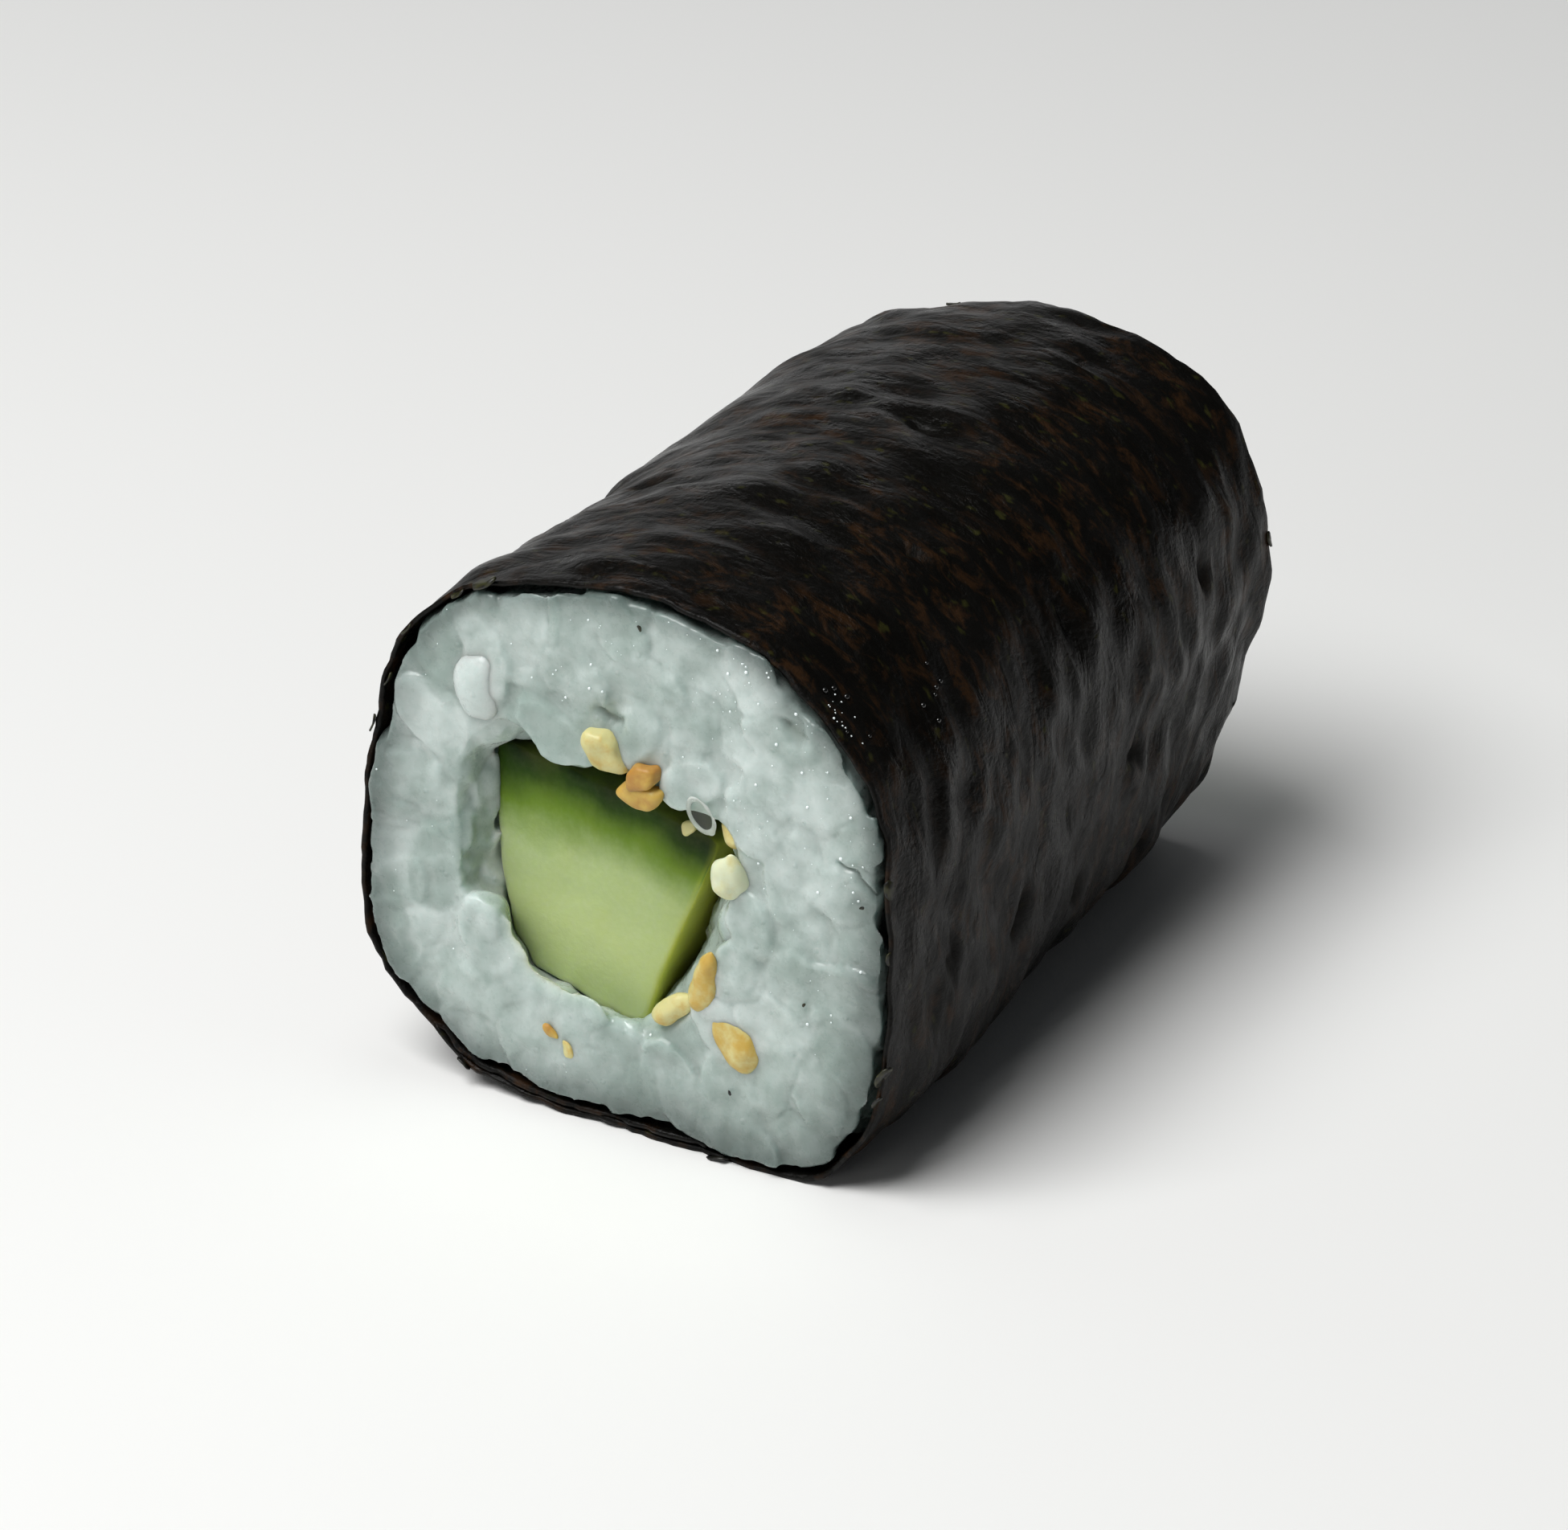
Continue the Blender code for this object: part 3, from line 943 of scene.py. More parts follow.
def pressed(points, walls, face_y, inward, cuts, overhang):
    """Presses grains into the roll: against the nori, off the stick, and cut at the face."""
    y = points[:, 1].copy()
    reading_y = np.clip(y, NEAR_END, FAR_END)
    depth = (y - face_y) * inward / MM
    loose = np.clip(1.7 - depth, 0, 1)
    angle = angle_of(points, ROLL_CENTRE)
    reach = reach_of(points, ROLL_CENTRE)
    limit = walls.outer.at(angle, reading_y) - 0.02 * MM
    past_rim = np.clip((0.12 - depth) / 0.12, 0, 1)
    upper_right = near_angle(angle, 35, 1.6, 50, 0.15)
    limit -= np.clip(noise_at(points, 1.1 * MM, 9) + 0.1, 0, 1) * (0.16 + 0.24 * upper_right) * MM * loose
    scallops = np.clip(noise_at(points, 2.1 * MM, 19) + 0.05, 0, 1)
    limit -= scallops * 0.55 * MM * np.clip(1.0 - depth, 0, 1) * upper_right
    limit += np.clip(noise_at(points, 1.7 * MM, 14) + 0.45, 0, 1) * 0.24 * MM * past_rim * upper_right
    limit -= 0.36 * MM * (1 - upper_right) * np.clip(0.9 - depth, 0, 1)
    scale = np.minimum(1, limit / np.maximum(reach, 1e-6))
    points[:, 0] = ROLL_CENTRE.x + (points[:, 0] - ROLL_CENTRE.x) * scale
    points[:, 2] = ROLL_CENTRE.z + (points[:, 2] - ROLL_CENTRE.z) * scale
    angle = angle_of(points, STICK_CENTRE)
    reach = reach_of(points, STICK_CENTRE)
    give = np.clip(noise_at(points, 2.0 * MM, 6), -0.25, 0.5) * 0.5
    uneven = np.clip(noise_at(points, 1.1 * MM, 7), -0.3, 0.3)
    give += uneven * 0.9 * np.clip(1 - np.abs(angle - 155) / 30, 0, 1)
    give = np.maximum(give, overhang)
    floor = walls.hole_reach(angle, reading_y) - give * MM * loose
    scale = np.maximum(1, floor / np.maximum(reach, 1e-6))
    points[:, 0] = STICK_CENTRE.x + (points[:, 0] - STICK_CENTRE.x) * scale
    points[:, 2] = STICK_CENTRE.z + (points[:, 2] - STICK_CENTRE.z) * scale
    depth = (points[:, 1] - face_y) * inward
    depth = np.maximum(depth, cuts)
    points[:, 1] = face_y + inward * depth
    return points


def grain_distances(points, placings, chosen):
    """For each point its two nearest grains and how far off they are; chosen grains keep their shape."""
    best = np.full(len(points), 1e9)
    second = np.full(len(points), 1e9)
    owner = np.zeros(len(points), int)
    runner_up = np.zeros(len(points), int)
    for index, placing in enumerate(placings):
        inverse = np.array(placing.inverted())
        local = points @ inverse[:3, :3].T + inverse[:3, 3]
        away = np.sqrt((local ** 2).sum(1)) * 2
        if index < chosen:
            away *= 0.72
        nearer = away < best
        close = ~nearer & (away < second)
        runner_up = np.where(nearer, owner, np.where(close, index, runner_up))
        second = np.where(nearer, best, np.where(close, away, second))
        owner = np.where(nearer, index, owner)
        best = np.where(nearer, away, best)
    return best, second, owner, runner_up


def make_rice_end(name, walls, near, seed, sizes, material):
    """Grains over the end of the core, pressed, cut and stuck together, with each grain's mark kept."""
    inward = 1 if near else -1
    face_y = NEAR_END - PROUD if near else FAR_END + PROUD
    rows = NEAR_GRAINS if near else FAR_GRAINS
    chosen = [seed_placing(row, near) for row in rows]
    placings = packed_grains(walls, face_y, inward, seed, chosen)
    template = grain_template()
    grains = many_copies(name + "_grains", template, placings)
    dice = random.Random(seed + 5)
    points = points_of(grains)
    each = len(points) // len(placings)
    cuts = np.zeros(len(points))
    overhang = np.full(len(points), -1.0)
    for index, placing in enumerate(placings):
        part = slice(index * each, (index + 1) * each)
        centre = placing.translation
        lean_x = dice.gauss(0, 0.035)
        lean_z = dice.gauss(0, 0.035)
        offset = dice.gauss(0, 0.045) * MM
        local = points[part]
        cuts[part] = offset + lean_x * (local[:, 0] - centre.x) + lean_z * (local[:, 2] - centre.z)
        if index < len(chosen):
            cuts[part] = -rows[index][2] * MM
            overhang[part] = 0.7
    set_points(grains, pressed(points, walls, face_y, inward, cuts, overhang))
    behind = 0.10 * MM
    low, high = sorted((face_y + inward * behind, face_y + inward * END_DEPTH * MM))
    core = ring_of_rice(name + "_core", walls, low, high, 180, 0.50 * MM, 0.22 * MM)
    bpy.data.objects.remove(template)
    end = joined(name, [core, grains])
    apply_modifier(end, "REMESH", mode="VOXEL", voxel_size=sizes.voxel, adaptivity=0.0)
    apply_modifier(end, "SMOOTH", factor=0.5, iterations=5)
    mark_grains(end, walls, placings, seed, [row[-1] for row in rows], near)
    relief = read_attribute(end, "seam")
    points = points_of(end)
    lumps = noise_at(points, 2.6 * MM, seed + 2) * 0.18 + noise_at(points, 1.2 * MM, seed) * 0.15
    lumps += noise_at(points, 0.55 * MM, seed + 1) * 0.05 - 0.07 * relief
    moved = points + normals_of(end) * (lumps * MM)[:, None]
    if near:
        moved[:, 1] += crevice_share(points)[1] * MM
    set_points(end, moved)
    hide_weight = hidden_weight(end, walls, face_y, inward)
    group = end.vertex_groups.new(name="hidden")
    for index in np.nonzero(hide_weight > 0)[0]:
        group.add([int(index)], float(hide_weight[index]), "REPLACE")
    apply_modifier(end, "DECIMATE", ratio=sizes.keep_share, vertex_group="hidden")
    end.vertex_groups.clear()
    settle(end, material)


def hidden_weight(end, walls, face_y, inward):
    """1 where the rice lies under the nori or deep inside, and 0 where it shows."""
    points = points_of(end)
    depth = (points[:, 1] - face_y) * inward / MM
    gap = walls.gap_to_nori(points)
    under_nori = np.clip((depth - 1.2) / 0.5, 0, 1) * np.clip((1.2 - gap) / 0.4, 0, 1)
    deep = np.clip((depth - 4.2) / 0.4, 0, 1)
    return np.maximum(under_nori, deep)


def mark_grains(end, walls, placings, seed, chosen_tones, near):
    """Writes each grain's tone, the seams between grains, painted shade in the crevices, and the grey beside
    the nori, partly nori showing through and partly painted shade that reaches further at the bottom and the
    left.
    """
    points = points_of(end)
    warp = np.stack([noise_at(points, 1.3 * MM, seed + shift) for shift in (1, 2, 3)], 1) * 0.45 * MM
    best, second, owner, runner_up = grain_distances(points + warp, placings, len(chosen_tones))
    dice = random.Random(seed + 11)
    tones = []
    for placing in placings:
        chance = dice.random()
        if chance < 0.14:
            tones.append(dice.uniform(0.60, 0.85))
        elif chance < 0.34:
            tones.append(dice.uniform(0.08, 0.24))
        else:
            tones.append(dice.uniform(0.34, 0.52))
    tones[:len(chosen_tones)] = chosen_tones
    shared = 0.5 * np.clip(1 - (second - best) / 0.40, 0, 1) ** 1.5
    tone = np.array(tones)[owner] * (1 - shared) + np.array(tones)[runner_up] * shared
    seam = np.clip(1 - (second - best) / 0.30, 0, 1) ** 1.5
    seam *= np.clip(noise_at(points, 3.1 * MM, seed + 4) * 1.2 + 0.6, 0.1, 1)
    loose = np.clip((best - 1.0) / 0.5, 0, 1)
    gap = walls.gap_to_nori(points)
    around = angle_of(points, ROLL_CENTRE)
    # The rim weight is partly painted shade: it reaches further from the nori at the bottom and the left,
    # where less light falls.
    low = near_angle(around, 300, 1.25, 62)
    left = near_angle(around, 185, 1.3, 50)
    rim = np.exp(-(np.clip(gap, 0, 9) / (1.0 + 1.5 * low + 0.75 * left)) ** 1.7)
    if not near:
        rim *= 0.9
    else:
        # The painted shade of the crevices rides on the seam weight, above 1.
        seam = np.maximum(seam, crevice_share(points)[0] * 2.1)
    mark_rice(end, tone * (1 - loose) + 0.4 * loose, seam, rim)


def make_rice(sizes):
    """The mass of rice: a core along the roll, and grains over both of its ends."""
    walls = RiceWalls()
    material = rice_material(sizes)
    face_inset = (END_DEPTH - 0.4) * MM
    low, high = NEAR_END + face_inset, FAR_END - face_inset
    core = ring_of_rice("rice_core", walls, low, high, 120, 0.12 * MM, 0.2 * MM)
    mark_rice(core, 0.5)
    settle(core, material, ("rice",))
    make_rice_end("rice_near_end", walls, True, 21, sizes, material)
    make_rice_end("rice_far_end", walls, False, 37, sizes, material)


# ---------------------------------------------------------------- cucumber


def make_cucumber(sizes):
    """The stick of cucumber, with knife-cut ends, soft corners, its depth under the skin marked, and its
    sides facing +X marked for painted light.
    """
    stick_near, stick_far = STICK_LOW.y, STICK_HIGH.y
    wall = WallTable(outer_reach, "cucumber", STICK_CENTRE, stick_near, stick_far, 1.6, 1.0, 9)
    columns = 144
    edge = 0.3 * MM
    length = stick_far - stick_near
    profile = [(share, 0.0) for share in np.linspace(0, 0.92, 12)]
    profile += [(0.965, 0.02 * MM), (0.985, 0.07 * MM), (0.997, 0.16 * MM), (1.0, edge)]
    steps = 60
    sides = [(1.0, edge + (length - 2 * edge) * step / steps) for step in range(1, steps)]
    loop = profile + sides + [(share, length - depth) for share, depth in reversed(profile)]
    stick = added_grid("cucumber_stick", columns, len(loop) - 1)
    flat = points_of(stick)
    angle = np.round(flat[:, 0] * columns) % columns * 360 / columns
    rows = np.round(flat[:, 1] * (len(loop) - 1)).astype(int)
    share = np.array([loop[row][0] for row in rows])
    y = stick_near + np.array([loop[row][1] for row in rows])
    reach = (wall.at(angle, y) + wander(STICK_SWELL, angle)) * share
    turn = np.radians(angle)
    x = STICK_CENTRE.x + reach * np.cos(turn)
    z = STICK_CENTRE.z + reach * np.sin(turn)
    points = np.stack([x, y, z], 1)
    inside = np.where(y < 0, 1, -1) * np.clip(noise_at(points, 2.4 * MM, 3) + 0.3, 0, 1)
    points[:, 1] += np.where(share < 0.99, inside * 0.12 * MM, 0)
    set_points(stick, points)
    merge_and_face_out(stick)
    roughen(stick, (0.9, 4, 0.03), stretch=(1, 0.4, 1))
    write_attribute(stick, "skin_depth", skin_depth(points_of(stick)))
    # Marks the sides facing +X for the painted light on them.
    write_attribute(stick, "thin_side", np.clip(normals_of(stick)[:, 0], 0, 1))
    settle(stick, cucumber_material(sizes), ("cucumber",))


def skin_depth(points):
    """Millimetres below the skin, which is the stick's upper side."""
    inset = 0.9 * MM
    tops = []
    for x in (STICK_LOW.x + inset, STICK_HIGH.x - inset):
        hit = TREES["cucumber"].ray_cast(Vector((x, 0, 0.05)), Vector((0, 0, -1)))[0]
        tops.append((x, hit.z))
    (left_x, left_z), (right_x, right_z) = tops
    slope = (right_z - left_z) / (right_x - left_x)
    middle = (left_x + right_x) / 2
    half = (right_x - left_x) / 2
    crown = 0.35 * MM * np.clip(1 - ((points[:, 0] - middle) / half) ** 2, 0, 1)
    line = left_z + slope * (points[:, 0] - left_x) + crown
    return (line - points[:, 2]) / math.sqrt(1 + slope ** 2) / MM


# ---------------------------------------------------------------- sesame and loose grains

# Seeds at the near mouth: angle round the stick, distance from its middle, depth behind the rim, length,
# width, thickness in millimetres, turn of the long axis from level, lean into the hole in degrees, and toast
# up to 1, below 0 for a raw one.
NEAR_SEEDS = (
    (27, 8.15, -0.1, 2.5, 1.75, 1.3, 78, 15, -0.35),
    (342, 6.30, -0.1, 3.5, 1.4, 1.2, 76, 8, 0.42),
    (318, 5.75, 0.15, 3.2, 1.15, 1.0, 36, 10, 0.16),
    (328, 8.70, -0.15, 3.5, 1.75, 1.0, 130, 3, 0.42),
)
FAR_SEEDS = (
    (120, 8.0, 0.5, 3.0, 1.8, 1.0, 20, 15, 0.35),
    (60, 8.1, 0.4, 3.1, 1.7, 1.0, 110, 10, 0.7),
    (20, 7.4, 0.6, 2.8, 1.8, 1.0, 60, 20, 0.15),
    (300, 6.6, 0.5, 3.2, 1.8, 0.9, 150, 10, 0.5),
)
# Broken seeds, placed alike.
NEAR_BITS = (
    (83, 8.40, -0.30, 2.2, 1.7, 1.1, 106, 12, 0.17),
    (68, 8.15, -0.40, 1.5, 1.2, 1.0, 15, 0, 0.85),
    (67, 7.25, -0.30, 2.0, 1.2, 1.0, 170, 5, 0.62),
    (47, 6.75, 1.0, 0.8, 0.6, 0.5, 30, 0, 0.1),
    (38, 9.0, 0.35, 1.2, 0.85, 0.7, 105, 0, 0.30),
    (252, 7.1, -0.22, 0.8, 0.5, 0.3, 120, 0, 0.7),
    (261, 7.7, -0.22, 1.2, 0.5, 0.3, 105, 0, 0.3),
)
FAR_BITS = (
    (235, 7.2, 0.1, 2.0, 1.5, 1.0, 40, 0, 0.3),
    (140, 9.0, 0.0, 1.4, 1.1, 0.8, 60, 0, 0.7),
)


def seed_template():
    """One hulled sesame seed, a unit long drop that is blunt at one end and pointed at the other."""
    deselect()
    bpy.ops.mesh.primitive_ico_sphere_add(subdivisions=4, radius=0.5)
    seed = take("seed")
    points = points_of(seed)
    along = points[:, 0] * 2
    taper = 1 - 0.42 * np.clip(along, -1, 1) - 0.10 * along ** 2
    points[:, 1] *= taper
    points[:, 2] *= taper * (1 - 0.12 * along)
    set_points(seed, points)
    return seed


def bit_template():
    """One broken seed, a unit long block with soft corners and one slanting break."""
    deselect()
    bpy.ops.mesh.primitive_ico_sphere_add(subdivisions=4, radius=0.5)
    bit = take("bit")
    points = points_of(bit)
    points = np.sign(points) * (np.abs(points) * 2) ** 0.62 / 2
    points[:, 1] *= 1 - 0.35 * points[:, 0]
    points[:, 0] += 0.25 * points[:, 1]
    set_points(bit, points)
    return bit


def seed_placing(row, near):
    """The matrix that sets a template as its row says, at the near end or the far one."""
    angle, away, depth, length, width, thickness, turn, lean = row[:-1]
    face_y = NEAR_END if near else FAR_END
    inward = 1 if near else -1
    stretch = Matrix.Diagonal((length * MM, width * MM, thickness * MM))
    lying = Matrix.Rotation(math.radians(90), 3, "X")
    tilt = Matrix.Rotation(math.radians(lean), 3, "X") @ Matrix.Rotation(math.radians(lean * 0.5), 3, "Z")
    spun = Matrix.Rotation(-math.radians(turn), 3, "Y")
    matrix = (tilt @ spun @ lying @ stretch).to_4x4()
    matrix.translation = spot_at(STICK_CENTRE, angle, away * MM, face_y + inward * depth * MM)
    return matrix


def make_sesame(sizes):
    """Toasted seeds, whole and broken, stuck in the mouth of the hole at both ends."""
    pieces = []
    toast = []
    for template, near_rows, far_rows in (
        (seed_template(), NEAR_SEEDS, FAR_SEEDS),
        (bit_template(), NEAR_BITS, FAR_BITS),
    ):
        rows = [(row, True) for row in near_rows] + [(row, False) for row in far_rows]
        pieces.append(many_copies("sesame_group", template, [seed_placing(row, near) for row, near in rows]))
        toast.append(np.repeat([row[-1] for row, near in rows], len(template.data.vertices)))
        bpy.data.objects.remove(template)
    for piece in pieces:
        roughen(piece, (0.9, 2, 0.17), (0.4, 3, 0.05))
    seeds = joined("sesame_seeds", pieces)
    write_attribute(seeds, "toast", np.concatenate(toast))
    merge_and_face_out(seeds, MM / 1000)
    settle(seeds, sesame_material(sizes))


# Whole grains caught in the mouth of the hole, placed like the seeds, with a tone.
NEAR_LOOSE = (
    (2, 7.3, 1.3, 3.6, 2.4, 2.2, 95, 10, 0.40),
)
FAR_LOOSE = (
    (185, 6.6, 1.6, 4.0, 2.4, 2.2, 80, 0, 0.6),
    (350, 6.8, 1.4, 3.6, 2.4, 2.2, 95, 0, 0.3),
)
# One chalky grain at each end, cut across its blunt end and left standing out.
CHALKY_GRAINS = (
    ((119.5, 11.30, 0.0, 3.45, 2.35, 1.5, 84, 0, 1.35), True),
    ((60, 10.6, 0.05, 3.0, 2.2, 1.2, 30, 0, 1.35), False),
)
# An empty glassy grain hanging at each mouth.
GLASSY_GRAINS = (
    ((47.0, 8.72, -0.35, 1.9, 1.08, 0.8, 128, 0, 0.0), True),
    ((75, 8.0, 0.2, 2.4, 1.2, 0.9, 60, 0, 0.0), False),
)


def make_loose_grains():
    """Whole grains that the knife left standing a little proud of the cut, chalky, plain or glassy."""
    material = bpy.data.materials["cooked_rice_wet_cut"]
    template = grain_template("loose_grain", 14, 22)
    rows = [(row, True) for row in NEAR_LOOSE] + [(row, False) for row in FAR_LOOSE]
    grains = many_copies("rice_loose_grains", template, [seed_placing(row, near) for row, near in rows])
    each = len(template.data.vertices)
    roughen(grains, (1.5, 8, 0.18), (0.6, 9, 0.05))
    chalky = many_copies("chalky_grains", template, [seed_placing(row, near) for row, near in CHALKY_GRAINS])
    roughen(chalky, (1.4, 5, 0.20), (0.6, 9, 0.08))
    grains = joined("rice_loose_grains", [grains, chalky])
    mark_rice(grains, np.repeat([row[-1] for row, near in (*rows, *CHALKY_GRAINS)], each))
    settle(grains, material)
    placings = [seed_placing(row, near) for row, near in GLASSY_GRAINS]
    glassy = many_copies("rice_glassy_grains", template, placings)
    bpy.data.objects.remove(template)
    settle(glassy, glassy_material())
    deselect()
    bpy.ops.mesh.primitive_torus_add(
        major_segments=40, minor_segments=10, major_radius=0.44, minor_radius=0.075, location=(0, 0, 0)
    )
    ring = take("husk")
    rims = many_copies("rice_husk_rims", ring, placings)
    bpy.data.objects.remove(ring)
    roughen(rims, (0.5, 6, 0.08))
    mark_rice(rims, 0.65)
    settle(rims, material)


def glassy_material():
    """A grain boiled until it is clear: a thin jelly husk that shows what is behind it, with a bright rim."""
    made, tree = new_material("glassy_rice_jelly")
    close_material(tree, {
        "Base Color": (*linear("eef3ec"), 1),
        "Roughness": 0.08,
        "IOR": 1.12,
        "Transmission Weight": 0.96,
    })
    return made


# Torn flakes at the rims: angle round the roll, how far out of the rim, size across, olive share, and whether
# the flake is at the near end.
FLAKES = (
    (118, 0.14, 1.0, 0.7, True),
    (125, 0.02, 0.6, 0.9, True),
    (163, 0.16, 0.7, 0.6, True),
    (140, 0.0, 0.6, 0.8, True),
    (152, -0.35, 0.6, 1.0, True),
    (236, -0.05, 0.6, 0.1, True),
    (290, 0.0, 0.9, 0.1, True),
    (9, 0.05, 0.7, 0.6, True),
    (355, 0.0, 0.5, 0.6, True),
    (332, 0.08, 1.0, 0.8, True),
    (327, 0.0, 0.6, 0.5, True),
    (60, -0.1, 0.5, 0.5, False),
    (105, -0.1, 0.6, 0.8, False),
    (190, 0.0, 0.8, 0.4, False),
    (250, 0.0, 0.9, 0.2, False),
    (335, 0.05, 0.8, 0.7, False),
    (15, 0.0, 0.6, 0.6, False),
)
# Crumbs of nori on the cut rice: angle round the roll, distance from its middle, size across.
CRUMBS = (
    (25, 8.5, 0.20), (5, 12.5, 0.20), (335, 10.6, 0.18),
    (83, 12.0, 0.24), (172, 12.4, 0.24), (300, 11.6, 0.20),
)


def flake_template():
    """One torn flake, a unit across, lying flat, with a frayed outline and a slight curl."""
    deselect()
    bpy.ops.mesh.primitive_circle_add(vertices=16, radius=0.5, fill_type="TRIFAN")
    flake = take("flake")
    points = points_of(flake)
    frayed = 1 + 0.55 * noise_at(points, 0.33, 4)
    points[:, 0] *= frayed * 1.2
    points[:, 1] *= frayed * 0.8
    points[:, 2] += 0.25 * points[:, 0] ** 2
    set_points(flake, points)
    apply_modifier(flake, "SOLIDIFY", thickness=0.11, offset=0)
    return flake


def make_flakes(sizes):
    """Torn bits of nori at the rims and crumbs of it on the cut rice."""
    template = flake_template()
    dice = random.Random(12)
    placings = []
    olive = []
    for angle, out, size, share, near in FLAKES:
        y = NEAR_END if near else FAR_END
        end = -1 if near else 1
        reach = outer_reach("nori", ROLL_CENTRE, angle, y * 0.998)
        ray = ray_at(angle)
        place = ROLL_CENTRE + ray * (reach - 0.10 * MM + out * MM) + Vector((0, y + end * 0.05 * MM, 0))
        round_roll = Vector((-ray.z, 0, ray.x))
        normal = (ray + Vector((0, end * dice.uniform(0.1, 0.5), 0))).normalized()
        side = normal.cross(round_roll).normalized()
        axes = Matrix((round_roll, side, normal)).transposed()
        placings.append((axes @ Matrix.Diagonal((size * MM,) * 3)).to_4x4())
        placings[-1].translation = place
        olive.append(share)
    for angle, away, size in CRUMBS:
        place = ROLL_CENTRE + ray_at(angle) * away * MM
        place.y = NEAR_END - 0.28 * MM
        axes = Matrix.Rotation(math.radians(90), 3, "X") @ Matrix.Rotation(dice.uniform(0, 6), 3, "Z")
        placings.append((axes @ Matrix.Diagonal((size * MM,) * 3)).to_4x4())
        placings[-1].translation = place
        olive.append(0.5)
    flakes = many_copies("nori_flakes", template, placings)
    each = len(template.data.vertices)
    bpy.data.objects.remove(template)
    points = points_of(flakes)
    points[:, 2] = np.maximum(points[:, 2], 0)
    set_points(flakes, points)
    write_attribute(flakes, "olive", np.repeat(olive, each))
    merge_and_face_out(flakes, MM / 10000)
    settle(flakes, flake_material(sizes))


def flake_material(sizes):
    """Torn nori, where the light comes through thin frayed edges and shows the seaweed's olive green."""
    made, tree = new_material("torn_nori_flakes")
    place = object_place(tree)
    patchy = noise_node(tree, place, 0.35, 2.0)
    share = math_node(tree, "MULTIPLY", attribute(tree, "olive"), ranged(tree, patchy, 0.35, 0.65))
    colour = mixed(tree, share, sizes.sheet_colour, sizes.olive_colour)
    normal = bumped(tree, patchy, 0.5, 0.05)
    close_material(tree, {"Base Color": colour, "Roughness": 0.42, "IOR": 1.45, "Normal": normal})
    return made


# ---------------------------------------------------------------- moisture

# How many rays are sent at each cut end for droplets, which are painted glints, and groups of them on the
# nori:
# angle round the roll, millimetres from its near end, spread of both, how many, and the least and greatest
# size across. The mist by the rim is painted glints too.
BEAD_COUNT = 170
RIM_GLINT_MIST = (42, 0.9, 2.6, 0.5, 16, 0.05, 0.12)
RIM_BEADS = ((43, 1.4, 3.0, 0.5, 5, 0.12, 0.34), (36, 6.8, 2.5, 0.6, 6, 0.12, 0.34))


def bead_template():
    """One droplet, a unit across, a little flattened where it sits."""
    deselect()
    bpy.ops.mesh.primitive_uv_sphere_add(segments=8, ring_count=5, radius=0.5)
    bead = take("bead")
    points = points_of(bead)
    points[:, 2] = np.where(points[:, 2] < 0, points[:, 2] * 0.4, points[:, 2] * 0.8)
    set_points(bead, points)
    return bead


def bead_on(tree, start, ray, size):
    """A droplet's matrix where a ray meets a piece, or nothing where it meets none."""
    place, normal = tree.ray_cast(start, ray)[:2]
    if place is None or normal.dot(ray) > -0.25:
        return None
    axes = normal.to_track_quat("Z", "Y").to_matrix()
    matrix = (axes @ Matrix.Diagonal((size,) * 3)).to_4x4()
    matrix.translation = place + normal * size * 0.1
    return matrix


def beads_on_sheet(tree, dice, group):
    """The matrices of one group of droplets on the nori."""
    middle, along, turn_spread, along_spread, count, least, greatest = group
    placings = []
    for bead in range(count):
        ray = ray_at(dice.gauss(middle, turn_spread))
        y = max(NEAR_END + 0.15 * MM, NEAR_END + (along + dice.gauss(0, along_spread)) * MM)
        start = ROLL_CENTRE + ray * DROP_START + Vector((0, y, 0))
        placings.append(bead_on(tree, start, -ray, dice.uniform(least, greatest) * MM))
    return placings


def make_moisture():
    """Droplets on the cut rice and in groups on the nori: those on the rice and the mist by the rim are
    near-white beads, painted glints, and the larger groups on the nori are clear water.
    """
    template = bead_template()
    dice = random.Random(77)
    placings = []
    for end_name, inward in (("rice_near_end", 1), ("rice_far_end", -1)):
        tree = tree_of(bpy.data.objects[end_name])
        ray = Vector((0, inward, 0))
        for bead in range(BEAD_COUNT):
            # Most painted glints go towards the upper right of the cut.
            angle = math.radians(dice.gauss(50, 32) if dice.random() < 0.6 else dice.uniform(0, 360))
            away = 14 * MM * math.sqrt(dice.uniform(0.25, 1))
            start = Vector((math.cos(angle) * away, -inward * DROP_START, math.sin(angle) * away))
            start = ROLL_CENTRE + start
            placings.append(bead_on(tree, start, ray, (0.05 + 0.13 * dice.random() ** 4) * MM))
    tree = tree_of(bpy.data.objects["nori_sheet"])
    placings += beads_on_sheet(tree, dice, RIM_GLINT_MIST)
    beads = many_copies("moisture_beads", template, [placing for placing in placings if placing])
    settle(beads, painted_glint_material())
    placings = [placing for group in RIM_BEADS for placing in beads_on_sheet(tree, dice, group)]
    droplets = many_copies("nori_droplets", template, [placing for placing in placings if placing])
    bpy.data.objects.remove(template)
    settle(droplets, clear_water_material())


def clear_water_material():
    """Clear water standing on the nori: it shows the dark sheet below it and a small hard highlight."""
    made, tree = new_material("clear_water_droplets")
    close_material(tree, {"Base Color": (*linear("0b0b0a"), 1), "Roughness": 0.05, "IOR": 1.6})
    return made


def painted_glint_material():
    """Painted glints: near-white smooth round beads, each standing in for one bright point of light on wet
    rice or nori.
    """
    made, tree = new_material("starchy_water_droplets")
    close_material(tree, {"Base Color": (*linear("f2fafa"), 1), "Roughness": 0.08, "IOR": 1.33})
    return made


# ---------------------------------------------------------------- stage


# Where the camera and the lamps point.
AIM = Vector((0.0054, -0.0139, 0.0177))
